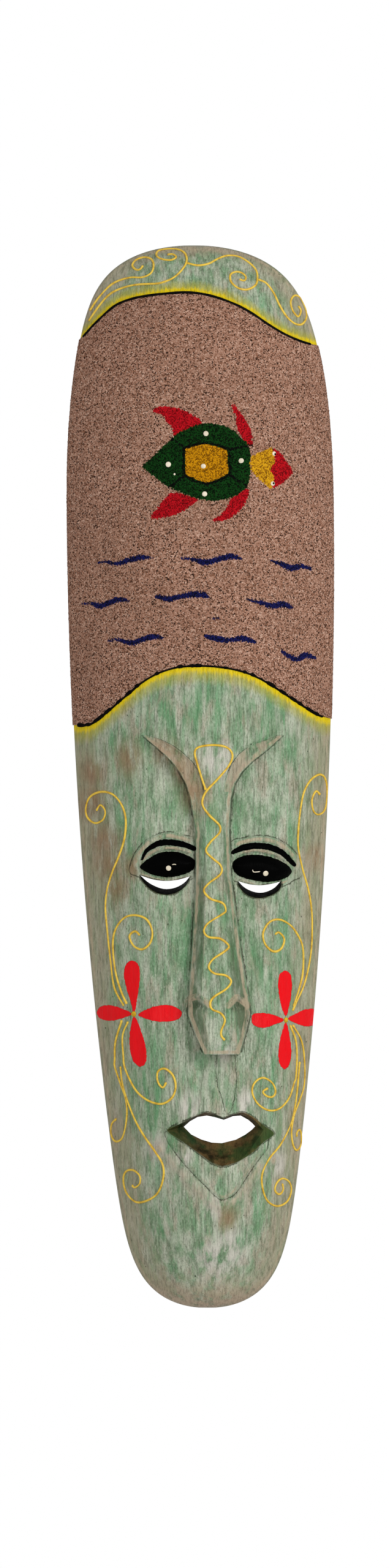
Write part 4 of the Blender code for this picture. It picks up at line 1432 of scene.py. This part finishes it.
RIGHT_SCROLLS = (
    ((56.3, 241.3), (54.3, 243.2), (52.3, 239.0), (53.1, 233.8), (55.6, 232.1), (58.6, 234.7),
     (59.5, 243.2), (58.6, 249.1), (56.0, 251.0), (51.7, 248.3), (48.5, 242.5), (46.8, 233.8),
     (45.9, 224.6), (45.9, 216.2), (47.9, 206.7), (50.5, 197.5), (52.0, 189.1), (52.5, 179.8),
     (51.8, 166.3), (48.8, 152.6), (44.7, 143.5), (43.2, 140.0)),
    ((34.9, 175.8), (36.7, 177.0), (39.3, 173.8), (37.8, 169.2), (34.1, 168.0), (30.3, 171.5),
     (29.4, 176.7), (32.2, 181.6), (36.7, 183.0), (42.0, 180.4), (45.9, 175.2), (48.1, 169.2),
     (48.1, 158.5), (46.5, 151.0), (43.6, 142.0)),
    ((43.2, 133.4), (47.3, 126.2), (48.8, 117.2), (48.8, 105.2), (46.5, 97.6), (43.9, 90.6),
     (42.7, 82.9), (43.6, 76.5), (45.3, 74.2), (47.1, 76.5), (47.3, 82.0), (46.5, 84.0),
     (45.2, 82.4), (45.3, 80.5)),
    ((46.5, 116.1), (45.9, 108.0), (44.7, 96.7), (42.4, 86.6), (37.7, 77.4), (32.3, 70.7),
     (28.9, 63.5), (29.2, 56.6), (31.5, 50.8), (36.1, 48.2), (40.7, 50.2), (42.7, 55.4),
     (41.6, 59.6), (38.4, 61.2), (35.8, 59.2), (34.9, 55.7), (37.0, 53.7), (38.8, 55.7),
     (38.4, 58.9)),
    ((42.0, 133.4), (44.7, 126.2), (45.3, 117.8), (44.7, 108.0), (44.2, 106.8), (41.6, 99.0),
     (37.0, 94.1), (31.8, 93.5), (26.8, 96.7), (24.2, 102.2), (25.4, 106.5), (29.2, 108.8),
     (33.5, 106.5), (35.2, 102.5), (34.1, 99.9), (31.5, 99.9), (29.2, 102.2), (31.8, 103.9)),
)
NOSE_LINE = (
    ((2.6, 243.6), (-1.2, 255.2), (-2.6, 261.5), (-0.3, 263.9), (6.4, 264.7), (12.4, 263.6),
     (15.0, 260.1), (13.3, 255.2), (8.1, 248.8), (2.6, 242.8), (0.9, 237.3), (4.0, 232.1),
     (8.9, 227.2), (8.9, 223.7), (4.8, 219.4), (2.6, 215.4), (5.5, 211.9), (9.5, 208.4),
     (9.5, 204.4), (4.0, 200.1), (1.7, 196.6), (4.8, 192.8), (10.4, 190.8), (11.8, 187.4),
     (10.7, 185.9), (3.5, 181.3), (1.7, 177.5), (3.9, 174.9), (9.5, 174.1), (13.3, 170.6),
     (11.0, 168.0), (5.8, 164.5), (3.9, 160.8), (6.6, 157.9), (11.8, 157.0), (14.4, 154.2),
     (12.1, 150.7), (6.6, 147.2), (4.6, 144.3), (5.5, 141.2), (9.5, 139.4), (11.5, 136.0),
     (9.8, 131.4), (9.8, 128.8), (11.5, 126.7)),
)


def paste_lines(name, lines, seed):
    """Squeezed yellow lines: nearly round, sunk a little, with a bead at each end."""
    return round_lines(name, lines, PASTE_HALF, seed,
                       flatness=0.85, lift=0.25, bead=1.25)


scrolls = [paste_lines("crown_scrolls", CROWN_SCROLLS, 21),
           paste_lines("left_scrolls", LEFT_SCROLLS, 22),
           paste_lines("right_scrolls", RIGHT_SCROLLS, 23),
           paste_lines("nose_line", NOSE_LINE, 24)]
print("paste lines:", sum(len(thing.data.polygons) for thing in scrolls), "faces")

# %% [markdown]
# # Border lines and paint drops
#
# A thick black line closes each edge of the sand. Drops of paint mark the turtle's shell
# and eyes, the hearts of the flowers and a glint in each eye. A drop is a low dome, set
# on the surface and turned to its normal.

# %% Black borders and drops
TOP_BORDER_HALF = 0.60
LOW_BORDER_HALF = 0.90
SCRATCH_HALF = 0.22
BORDER_REACH = 0.985
PUPIL_LIFT = 0.38


def trimmed(border):
    """The part of a border line that lies on the front, with every fourth point."""
    path = smooth_path(border)
    share_there = share_of(CHIN + path[:, 1] * MM)
    place = (path[:, 0] * MM - middle(share_there)) / half_width(share_there)
    return path[np.abs(place) < BORDER_REACH][::4]


def brushed_lines(name, lines, half, seed):
    """Lines of thick paint, which lie flatter than paste and end without a bead."""
    return round_lines(name, lines, half, seed,
                       flatness=0.5, lift=0.3, bead=1.0)


def drops(name, spots, flatness=0.45, lift=0.0):
    """Low domes of thick paint, given as (right, up, radius)."""
    bm = bmesh.new()
    for right, up, radius in spots:
        point, normal = touch(right, up)
        point = point + normal * lift * MM
        made = bmesh.ops.create_icosphere(bm, subdivisions=3, radius=radius * MM)["verts"]
        turn = Vector(normal).to_track_quat("Z", "Y")
        for vert in made:
            vert.co.z *= flatness
            vert.co = Vector(point) + turn @ vert.co
    return piece_from(name, bm)


SHELL_DROPS = ((2.6, 410.5, 1.25), (-15.0, 396.1, 1.3), (1.4, 395.2, 1.2), (19.1, 397.8, 1.3),
               (2.0, 382.2, 1.25), (-12.1, 391.5, 0.5), (34.6, 401.4, 1.1), (33.9, 387.3, 1.1))
TURTLE_PUPILS = ((34.8, 401.1, 0.55), (34.1, 387.4, 0.55))
FLOWER_HEARTS = ((-31.2, 138.6, 1.35), (40.1, 135.7, 1.3))
EYE_GLINTS = ((-14.9, 207.1, 1.25), (30.6, 204.6, 1.3))
SCRATCHES = (
    ((-13.3, 208.7), (-12.1, 209.0), (-11.3, 208.7)),
    ((24.5, 206.4), (24.7, 205.3), (26.3, 205.3), (28.0, 205.5)),
)
borders = [brushed_lines("top_border_line", (trimmed(TOP_BORDER),), TOP_BORDER_HALF, 31),
           brushed_lines("low_border_line", (trimmed(LOW_BORDER),), LOW_BORDER_HALF, 32)]
shell_drops = drops("turtle_drops", SHELL_DROPS)
pupils = drops("turtle_pupils", TURTLE_PUPILS, flatness=0.5, lift=PUPIL_LIFT)
hearts = drops("flower_hearts", FLOWER_HEARTS, flatness=0.7)
glints = drops("eye_glints", EYE_GLINTS, flatness=0.35)
scratches = brushed_lines("eye_scratches", SCRATCHES, SCRATCH_HALF, 33)
print("drops:", len(SHELL_DROPS) + len(TURTLE_PUPILS) + len(FLOWER_HEARTS) + len(EYE_GLINTS))

# %% [markdown]
# # Building materials
#
# Every finish here is made of nodes: small boxes that pass numbers and colours to each
# other. A few short helpers keep the recipes readable. One adds a node, one lays a colour
# over another like a coat of paint, one turns a number into a soft step, and one makes
# noise whose grain has a real size in millimetres, stretched where the brush went.
#
# Colours are written as a paint shop gives them, from 0 to 255, and changed to the
# linear values that Blender's shaders expect.

# %% Helpers for the finishes
def paint(red, green, blue):
    """A colour given from 0 to 255, as a linear colour."""
    values = np.array((red, green, blue)) / 255
    linear = np.where(values <= 0.04045, values / 12.92, ((values + 0.055) / 1.055) ** 2.4)
    return (*linear.tolist(), 1.0)


def new_finish(name, roughness, shine=0.2):
    """Start a material, and mix it from here on. Shine is how much it mirrors."""
    global tree, shader
    material = bpy.data.materials.new(name)
    material.use_nodes = True
    tree = material.node_tree
    shader = tree.nodes["Principled BSDF"]
    shader.inputs["Roughness"].default_value = roughness
    shader.inputs["Specular IOR Level"].default_value = shine
    return material


def connect(value, socket):
    """Link another node's output to a socket, or set the socket to a plain value."""
    if isinstance(value, bpy.types.NodeSocket):
        tree.links.new(value, socket)
    else:
        socket.default_value = value


def add_node(kind, inputs, **settings):
    """Add a node, with its settings and inputs, to the tree that is being mixed."""
    node = tree.nodes.new(kind)
    for name, value in settings.items():
        setattr(node, name, value)
    for name, value in inputs.items():
        connect(value, node.inputs[name])
    return node


def reckon(operation, first, second=0.0):
    """One step of arithmetic."""
    return add_node("ShaderNodeMath", {0: first, 1: second}, operation=operation).outputs[0]


def plus(first, second):
    """The sum of two amounts."""
    return reckon("ADD", first, second)


def minus(first, second):
    """The first amount less the second."""
    return reckon("SUBTRACT", first, second)


def times(first, second):
    """Two amounts multiplied, so that a coat lies only where both allow it."""
    return reckon("MULTIPLY", first, second)


def soft_step(value, low, high):
    """A number that rises softly from 0 at low to 1 at high, or falls if low is larger."""
    return add_node("ShaderNodeMapRange", {"Value": value, "From Min": low, "From Max": high},
                    interpolation_type="SMOOTHSTEP").outputs[0]


print("paint(143, 158, 125) is", [round(v, 3) for v in paint(143, 158, 125)])

# %% Patterns, coats and relief
def mark(name):
    """A number stored on the points of the mesh."""
    return add_node("ShaderNodeAttribute", {}, attribute_name=name).outputs["Fac"]


def in_grain(size, shift=0.0):
    """The object's own places, scaled so that size in millimetres becomes one."""
    place = add_node("ShaderNodeTexCoord", {}).outputs["Object"]
    scale = tuple(1 / (MM * length) for length in size)
    return add_node("ShaderNodeMapping", {"Vector": place, "Scale": scale,
                                          "Location": (shift, shift, shift)}).outputs[0]


def noise(size, shift=0.0, detail=3.0, rough=0.55, warp=0.0):
    """Cloudy noise whose patches have a size in millimetres across, deep and along.

    Shift picks another part of the same noise. Detail adds finer clouds, rough makes
    those stronger, and warp twists them.
    """
    return add_node("ShaderNodeTexNoise", {
        "Vector": in_grain(size, shift), "Scale": 1.0, "Detail": detail,
        "Roughness": rough, "Distortion": warp}).outputs["Fac"]


def cells(size, shift=0.0):
    """Space split into small cells: a random colour for each, and the way to its middle."""
    return add_node("ShaderNodeTexVoronoi", {
        "Vector": in_grain((size, size, size), shift), "Scale": 1.0}).outputs


def shake(pattern, by):
    """A pattern between 0 and 1, as a push of up to half of by, either way."""
    return times(minus(pattern, 0.5), by)


def layer(under, over, amount):
    """Lay one colour over another, by an amount from 0 to 1.

    Inputs 6 and 7 and output 2 of the mix node are its colours.
    """
    mix = add_node("ShaderNodeMix", {0: amount, 6: under, 7: over}, data_type="RGBA")
    return mix.outputs[2]


def lay_coats(under, coats):
    """Lay coats over a colour: each has a colour, a rule where it lies, and a strength."""
    for colour, lies, strength in coats:
        under = layer(under, colour, times(lies, strength))
    return under


def give(name, value):
    """Feed an input of the shader that is being mixed."""
    connect(value, shader.inputs[name])


def raise_by(height, distance, strength):
    """Let a height pattern bend the light, as if it stood a distance in metres high."""
    give("Normal", add_node("ShaderNodeBump", {
        "Height": height, "Distance": distance, "Strength": strength}).outputs["Normal"])


print("coats, patterns and relief are ready")

# %% [markdown]
# The sloping sides of the nose are darkened with a painted shade.
# # The washed green paint
#
# Close up, the green is not one colour. A pale grey-green ground shows brush streaks
# that run down the wood, some jade, some chalky. It is rubbed back to tan on every edge,
# it has pooled dark in the cuts, and towards the rim it turns to a warm grey.
#
# A photograph of paint would bring all of that at once, but it would be a picture with
# fixed light. So each of these effects is a layer of its own: a colour, and a rule for
# where it lies. The rules use noise and the numbers stored on the mesh.

# %% Ground, streaks and rim
painted = new_finish("washed_green_paint", roughness=0.46, shine=0.12)
mottle = noise((4.5, 5, 14), 27.0, 4.0, 0.60, 0.2)
patches = noise((15, 15, 44), 7.0, 3.0, 0.6, 0.3)
streaks = noise((4.5, 5, 34), 3.0, 4.0, 0.62, 0.2)
grit = noise((0.7, 0.7, 1.2), 47.0, 3.0, 0.6)
jade = times(soft_step(streaks, 0.42, 0.64), soft_step(patches, 0.36, 0.60))
chalk = soft_step(noise((6, 6, 18), 11.0, 4.0, 0.62, 0.3), 0.50, 0.68)
brush = soft_step(noise((0.9, 3, 9), 19.0, 4.0, 0.68), 0.48, 0.72)
wisps = soft_step(noise((0.8, 3, 12), 29.0, 3.0, 0.68), 0.54, 0.74)
uneven_rim = plus(mark("from_rim"), times(noise((8, 8, 30), 23.0), 18.0))
near_rim = minus(1.0, soft_step(uneven_rim, 10.0, 27.0))
warm_grey = layer(paint(158, 144, 120), paint(124, 116, 92), brush)
# Darker green on the sides of the nose: a painted shade.
nose_shade_coat = times(mark("painted_nose_shade"), soft_step(mottle, 0.26, 0.54))

ground = layer(paint(174, 180, 160), paint(116, 142, 110), soft_step(mottle, 0.34, 0.66))
ground = lay_coats(ground, (
    (paint(90, 148, 102), jade, 0.66),
    (paint(160, 148, 130), chalk, 0.70),
    (paint(76, 92, 66), brush, 0.60),
    (paint(196, 198, 180), wisps, 0.50),
    (paint(78, 92, 66), soft_step(grit, 0.48, 0.72), 0.50),
    (paint(204, 206, 188), soft_step(grit, 0.46, 0.26), 0.35),
    (warm_grey, near_rim, 0.66),
    (paint(72, 86, 58), nose_shade_coat, 0.85)))
print("ground coats:", len(tree.nodes), "nodes")

# %% [markdown]
# Wear, stains, dirt and painted light
#
# A mask like this is made to look old. The dry paint is rubbed back, and a dark wash is
# wiped into the cuts. Each coat below lies where a stored number allows it, and noise
# breaks it up. One dirt pattern for the whole face would be quicker, but then the wear
# would lie everywhere alike. Two coats are painted light instead of wear: a painted shade
# under the nostril arches, and painted highlights on the forehead, lips, nose and chin.

# %% Wear and stains
fine = noise((1.4, 1.4, 3.0), 31.0, 4.0, 0.65)
broken = noise((5, 5, 9), 37.0, 4.0, 0.6)
creased = soft_step(mark("crease"), 0.25, 1.2)
rubbed = soft_step(mark("worn"), 0.25, 1.05)
on_wings = times(soft_step(mark("nose_edge"), 0.0, 0.8), soft_step(mark("wing_edge"), 0.0, 0.8))

ground = lay_coats(ground, (
    (paint(72, 130, 82), times(mark("green"), soft_step(streaks, 0.38, 0.66)), 0.55),
    # The pale patches are painted highlights.
    (paint(198, 192, 182), times(mark("pale"), soft_step(mottle, 0.66, 0.42)), 0.85),
    # Painted highlight along the chin's rise under the lip.
    (paint(166, 156, 138), times(mark("chin_highlight"), soft_step(mottle, 0.66, 0.40)), 0.70),
    (paint(58, 78, 50), times(creased, soft_step(broken, 0.40, 0.62)), 0.62),
    # Painted shade under the nostril arches.
    (paint(50, 66, 42), times(mark("shade"), soft_step(fine, 0.25, 0.55)), 0.80),
    (paint(176, 160, 134), times(rubbed, soft_step(broken, 0.34, 0.56)), 0.80),
    (paint(164, 148, 126), times(on_wings, soft_step(mottle, 0.64, 0.40)), 0.75),
    (paint(136, 104, 76), times(mark("stain"), soft_step(mottle, 0.28, 0.56)), 0.75),
    (paint(172, 152, 130), times(mark("chin_end"), soft_step(broken, 0.30, 0.52)), 0.80)))
print("with wear:", len(tree.nodes), "nodes")

# %% [markdown]
# Scored lines and painted shade
#
# The carver sets out the lips, lids and nose with a knife, and dark paint stays in those
# cuts. A line lies where a stored distance is near zero. Real grooves would be truer, but
# the mesh would need a point every tenth of a millimetre to hold them. The lines just
# outside the nose and along the inner lines of the brow wings are painted shade, where
# the carving steps down.

# %% Scored lines and specks
# The nose_edge and wing_edge lines are painted shade where the carving steps down; the others are dark
# paint in knife cuts.
SCORED_LINES_AND_SHADE = (("philtrum", 0.0, 0.36), ("lower_lip", 0.0, 0.36), ("cut_edge", 0.2, 0.45),
          ("lids", 1.9, 0.42), ("nose_edge", 0.7, 0.55), ("wing_edge", 0.0, 0.36))
shaky = shake(grit, 1.3)
unbroken = soft_step(broken, 0.36, 0.54)
for name, outside, half in SCORED_LINES_AND_SHADE:
    gap = plus(plus(mark(name), shaky), outside)
    line = times(soft_step(reckon("ABSOLUTE", gap), half, 0.3 * half), unbroken)
    ground = layer(ground, paint(44, 48, 30), times(line, 0.80))
speck_size = minus(times(noise((5, 5, 5), 41.0), 0.13), 0.02)
speck = reckon("LESS_THAN", cells(7.0)["Distance"], speck_size)
ground = layer(ground, paint(40, 44, 34), times(speck, 0.8))
print("with scored lines:", len(tree.nodes), "nodes")

# %% [markdown]
# # The painted shapes on the wood
#
# Now the stored numbers come in. A petal is wherever its number is above zero. A little
# noise is added first, so that the edge trembles like a hand-held brush. The yellow
# bands fade out on one side, because there the painter dragged a nearly dry brush.

# %% Bands, cut faces, eyes and petals
tremble = shake(noise((1.6, 1.6, 1.6), 53.0), 0.9)
dry = shake(noise((1.2, 3, 4), 59.0, 4.0), 4.0)


def shape_of(name):
    """Amount of a painted shape: 1 inside it, with a trembling edge."""
    return soft_step(plus(mark(name), tremble), -0.10, 0.10)


def band_of(name, width):
    """Amount of a yellow band that starts at its border line and fades after width."""
    start = soft_step(mark(name), -0.6, -0.2)
    return times(start, soft_step(plus(mark(name), dry), width, 0.35 * width))


for name, width in (("top_band", 3.2), ("low_band", 4.6)):
    ground = layer(ground, paint(168, 160, 36), times(band_of(name, 2.2 * width), 0.65))
    ground = layer(ground, paint(214, 188, 10), band_of(name, width))
cut_wood = layer(paint(106, 84, 52), paint(42, 36, 20),
                 soft_step(noise((6, 6, 6), 61.0, 4.0), 0.40, 0.66))
cut_wood = lay_coats(cut_wood, (
    (paint(40, 68, 34), soft_step(noise((12, 12, 12), 63.0, 4.0), 0.48, 0.68), 0.8),
    (paint(50, 78, 42), mark("green"), 0.9)))
slit_depth = plus(mark("slits"), times(fine, 1.5))
slit_rim = layer(paint(34, 42, 20), paint(3, 4, 3), soft_step(slit_depth, 0.7, 1.4))
red = layer(paint(226, 6, 18), paint(218, 5, 16),
            soft_step(noise((2, 2, 6), 67.0, 4.0), 0.45, 0.75))
eye_shape = shape_of("eye_paint")
petal_shape = shape_of("petals")
for colour, lies in ((cut_wood, soft_step(mark("cut_edge"), -0.15, 0.35)),
                     (slit_rim, soft_step(mark("slits"), -0.2, 0.3)),
                     (paint(3, 3, 3), eye_shape),
                     (red, petal_shape)):
    ground = layer(ground, colour, lies)
give("Base Color", ground)
print("with painted shapes:", len(tree.nodes), "nodes")

# %% [markdown]
# # Gloss and relief
#
# Washed paint is dull with a few shinier patches, and the thick black and red lie a little
# proud of it. That relief is only a fraction of a millimetre, so bump is enough for it:
# bump bends the light without moving any points of the mesh.

# %% Gloss and relief of the paint
thick = reckon("MAXIMUM", eye_shape, petal_shape)
black_parts = reckon("MAXIMUM", eye_shape, soft_step(mark("cut_edge"), -0.2, 0.3))
gloss = soft_step(noise((5, 5, 9), 71.0, 3.0), 0.30, 0.75)
give("Specular IOR Level", minus(0.13, times(black_parts, 0.12)))
give("Roughness", minus(plus(0.34, times(gloss, 0.26)), times(thick, 0.08)))
raised = plus(mottle, times(wisps, 0.5))
sunken = plus(times(brush, 0.5), times(grit, 0.4))
rough_paint = times(minus(raised, sunken), minus(1.0, times(thick, 0.7)))
raise_by(plus(rough_paint, times(thick, 0.9)), 0.00060, 0.9)
print("washed green paint:", len(tree.nodes), "nodes")

# %% [markdown]
# # Bare wood behind
#
# Nobody paints the back. It shows the pale wood with its grain and gouge marks, gone a
# little grey. The grain runs the length of the block, so the noise is stretched that way.

# %% Bare wood
bare = new_finish("bare_gouged_wood", roughness=0.72)
grain = noise((2.2, 2.2, 90), 5.0, 5.0, 0.62)
fibres = noise((0.5, 0.5, 14), 9.0, 3.0, 0.7)
greyed = soft_step(noise((30, 30, 60), 13.0), 0.45, 0.65)
wood = layer(paint(204, 172, 132), paint(164, 128, 90), soft_step(grain, 0.40, 0.64))
give("Base Color", lay_coats(wood, (
    (paint(112, 82, 54), soft_step(fibres, 0.50, 0.75), 0.50),
    (paint(164, 148, 126), greyed, 0.45))))
raise_by(plus(grain, fibres), 0.0003, 0.8)
print("bare wood:", len(tree.nodes), "nodes")

# %% [markdown]
# # Which faces are painted
#
# The brush reaches the front, the rim and the walls of the mouth, but not the hollow. A
# face stays bare if it looks backwards, lies in the nail hole, or lies deep under the
# bowed shell. Faces could be picked by hand, but that would have to be done again after
# every change of the mesh.

# %% Faces that stay bare
BACK_FACING = 0.02
HOLE_MARGIN = 1.1
HOLLOW_MARGIN = 0.7
FLAT_FROM = 0.9
CUT_MARGIN = 0.3


def face_values(name):
    """Three numbers for every face of the mask, such as its normal."""
    flat = np.empty(len(mask.data.polygons) * 3, dtype=np.float32)
    mask.data.polygons.foreach_get(name, flat)
    return flat.reshape(-1, 3)


mask.data.materials.clear()
for finish in (painted, bare):
    mask.data.materials.append(finish)
facing = face_values("normal")
centres = face_values("center")
in_nail_hole = np.hypot(centres[:, 0], centres[:, 2]) < HOLE_MARGIN * NAIL_HOLE_RADIUS
in_nail_hole &= centres[:, 1] > -HOLE_MARGIN * NAIL_HOLE_DEPTH
share = np.clip(share_of(centres[:, 2]), 0.0, 1.0)
across = np.clip(across_of(centres[:, 0], centres[:, 2]), -1.0, 1.0)
in_hollow = -centres[:, 1] < bow_depth(across, share) - HOLLOW_MARGIN * WALL
in_hollow &= (1 - np.abs(across)) * half_width(share) > RIM / 2
in_hollow &= np.abs(facing[:, 1]) < FLAT_FROM
right, up = right_and_up(centres)
for outline in (lip_edge, *(slit_outline(SLIT_RIMS[side], side) for side in SLIT_RIMS)):
    in_hollow &= inside_by(outline, right, up) < -CUT_MARGIN
behind = (facing[:, 1] > BACK_FACING) | in_nail_hole | in_hollow
mask.data.polygons.foreach_set("material_index", behind.astype(np.int32))
print("bare faces:", int(behind.sum()), "of", len(behind))

# %% [markdown]
# # Sand, and the paint on it
#
# Sand is thousands of grains, each its own shade. A Voronoi pattern splits space into
# small cells and gives each one a random number, which is just what we need: the number
# picks a grain's shade, and the distance to the cell's middle gives it a round top.
# Cells of half a millimetre match the real grains.

# %% Grains of sand
GRAIN = 0.50
DARK_GRAIN = 1.1
GRAIN_SHADES = ((0.0, (30, 14, 8)), (0.13, (124, 84, 64)), (0.34, (160, 118, 98)),
                (0.64, (182, 142, 122)), (0.92, (212, 176, 156)))


def split(colour):
    """The three random numbers that a cell's colour holds."""
    return add_node("ShaderNodeSeparateColor", {"Color": colour}).outputs


sandy = new_finish("sprinkled_sand", roughness=0.85, shine=0.06)
grains = cells(GRAIN)
chance = split(grains["Color"])
pick = add_node("ShaderNodeValToRGB", {"Fac": chance[0]})
pick.color_ramp.interpolation = "CONSTANT"
stops = pick.color_ramp.elements
for index, (start, colour) in enumerate(GRAIN_SHADES):
    stop = stops[index] if index < 2 else stops.new(start)
    stop.position = start
    stop.color = paint(*colour)
dark_cells = cells(DARK_GRAIN, 4.0)
dark = times(reckon("LESS_THAN", split(dark_cells["Color"])[1], 0.45),
             reckon("LESS_THAN", dark_cells["Distance"], 0.27))
cloud = soft_step(noise((30, 30, 30), 6.0), 0.35, 0.70)
sand_colour = layer(pick.outputs["Color"], paint(150, 108, 86), 0.12)
sand_colour = lay_coats(sand_colour, (
    (paint(26, 14, 10), dark, 0.92),
    (paint(120, 86, 68), cloud, 0.18)))
print("grains:", len(tree.nodes), "nodes")

# %% [markdown]
# # Paint on the sand
#
# Paint sinks between the grains and covers them unevenly. So each colour has a deeper
# partner, and the random numbers of the grains choose between the two. The edge of a shape
# is shaken more than on the wood, because a brush skips from grain to grain.

# %% Painted picture on the sand
PICTURE = (("flippers", (184, 16, 28), (116, 4, 10)), ("shell", (14, 58, 16), (2, 14, 2)),
           ("plate", (200, 138, 10), (120, 74, 2)), ("neck", (216, 160, 26), (140, 90, 10)),
           ("head", (192, 18, 28), (116, 5, 12)), ("waves", (24, 26, 82), (6, 7, 24)))
ragged = shake(noise((0.9, 0.9, 0.9), 8.0, 3.0), 3.0)


def over_sand(under, name, colour, deep):
    """Brush a paint on the sand, where the grains take it unevenly."""
    lies = soft_step(plus(mark(name), ragged), -0.15, 0.20)
    uneven = layer(paint(*colour), paint(*deep), soft_step(chance[1], 0.25, 0.85))
    return layer(under, uneven, lies)


for name, colour, deep in PICTURE:
    sand_colour = over_sand(sand_colour, name, colour, deep)
sand_colour = layer(sand_colour, paint(16, 8, 6), times(dark, 0.75))
sand_colour = over_sand(sand_colour, "plate_lines", (5, 6, 5), (3, 4, 3))
give("Base Color", sand_colour)
raise_by(minus(1.0, grains["Distance"]), 0.00045, 1.0)
sand.data.materials.append(sandy)
print("sprinkled sand:", len(tree.nodes), "nodes")

# %% [markdown]
# # Paste and thick paint
#
# The paste is a warm yellow, a little darker where dust has settled. The thick paints
# are glossy and nearly even, with a faint skin.

# %% Paste, black line and drops
def thick_finish(things, name, colour, deep, roughness, shine=0.2):
    """Cover things with a thick paint whose colour varies a little."""
    material = new_finish(name, roughness, shine)
    skin_patches = soft_step(noise((2.5, 2.5, 2.5), 1.0, 4.0), 0.40, 0.72)
    give("Base Color", layer(paint(*colour), paint(*deep), skin_patches))
    raise_by(noise((0.8, 0.8, 0.8), 5.0), 0.0001, 0.6)
    for thing in things:
        thing.data.materials.append(material)


thick_finish(scrolls, "yellow_paste", (224, 188, 70), (190, 148, 42), roughness=0.38)
thick_finish((*borders, pupils), "black_line_paint", (5, 5, 5), (14, 12, 10),
             roughness=0.50, shine=0.03)
thick_finish((shell_drops, glints, scratches), "white_drop_paint", (226, 214, 194),
             (200, 190, 164), roughness=0.35)
thick_finish((hearts,), "yellow_drop_paint", (206, 172, 24), (176, 138, 16),
             roughness=0.35)
print("finishes:", [material.name for material in bpy.data.materials])

# %% [markdown]
# # Floor, light and camera
#
# The mask hangs, so the floor lies well below it. The light is that of a plain studio:
# a pale room, a large soft lamp in front and to the right, and a weak one on the left,
# so that the carving casts soft shadows to the left. The room behind is seen brighter
# than it shines, as a lit paper backdrop is. The standard colour view is used, because
# paint colours then come out as they were measured.
#
# The camera looks straight at the front from far away with a long lens, which keeps the
# outline free of perspective.

# %% Floor and room
FLOOR_BELOW = 0.42
FLOOR_SIZE = 3.0
ROOM_LIGHT = 0.50
ROOM_SEEN = 1.0

floor_bm = bmesh.new()
bmesh.ops.create_grid(floor_bm, x_segments=1, y_segments=1, size=FLOOR_SIZE)
floor = add_object("floor", floor_bm, visible)
floor.location = (0.0, 0.0, CHIN - FLOOR_BELOW)
floor.data.materials.append(new_finish("pale_floor", roughness=0.8))
give("Base Color", (0.8, 0.8, 0.79, 1.0))
floor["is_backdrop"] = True

world = bpy.data.worlds.new("pale_room")
bpy.context.scene.world = world
world.use_nodes = True
tree = world.node_tree
room = tree.nodes["Background"]
room.inputs["Color"].default_value = (1.0, 1.0, 1.0, 1.0)
brightness = soft_step(add_node("ShaderNodeLightPath", {}).outputs["Is Camera Ray"], 0.0, 1.0)
brightness.node.inputs["To Min"].default_value = ROOM_LIGHT
brightness.node.inputs["To Max"].default_value = ROOM_SEEN
connect(brightness, room.inputs["Strength"])
bpy.context.scene.view_settings.view_transform = "Standard"
print(f"floor {1000 * FLOOR_BELOW:.0f} mm below the chin, room at {ROOM_LIGHT}")

# %% Lamps and camera
CAMERA_DISTANCE = 6.0
VIEW_MIDDLE = (-0.00274, -0.2295)
VIEW_HEIGHT = 0.739
SENSOR = 36.0


def aimed(name, data, place):
    """Add a lamp that faces the mask's middle."""
    thing = bpy.data.objects.new(name, data)
    visible.objects.link(thing)
    thing.location = place
    aim = Vector((0.0, 0.0, VIEW_MIDDLE[1])) - Vector(place)
    thing.rotation_euler = aim.to_track_quat("-Z", "Y").to_euler()


for name, place, size, power in (("key_lamp", (1.5, -2.0, 0.5), 1.2, 40.0),
                                 ("fill_lamp", (-1.6, -2.2, 0.0), 1.6, 14.0)):
    lamp = bpy.data.lights.new(name, "AREA")
    lamp.size = size
    lamp.energy = power
    aimed(name, lamp, place)

camera = bpy.data.cameras.new("camera")
camera.sensor_width = SENSOR
camera.lens = SENSOR * CAMERA_DISTANCE / VIEW_HEIGHT
camera.clip_end = 100.0
eye = bpy.data.objects.new("camera", camera)
visible.objects.link(eye)
eye.location = (VIEW_MIDDLE[0], -CAMERA_DISTANCE, VIEW_MIDDLE[1])
eye.rotation_euler = (np.radians(90), 0.0, 0.0)
bpy.context.scene.camera = eye
print(f"lens {camera.lens:.0f} mm at {CAMERA_DISTANCE} m")

# %% [markdown]
# # Does it still fit?
#
# A dressed mask that has grown would no longer match the solid it stands for. The
# difference of the two boxes is printed, in millimetres. The sand and the paste may stand
# a little proud, and nothing else should have moved.

# %% Compare the boxes and finish
import json

dressed_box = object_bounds()
growth = [round(1000 * (b - a), 2) for a, b in zip((*solid_box[0], *solid_box[1]),
                                                   (*dressed_box[0], *dressed_box[1]))]
triangles = sum(len(piece.data.loop_triangles) or sum(
    len(face.vertices) - 2 for face in piece.data.polygons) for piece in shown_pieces())
print("dressed minus solid box, mm:", growth, "triangles:", triangles)
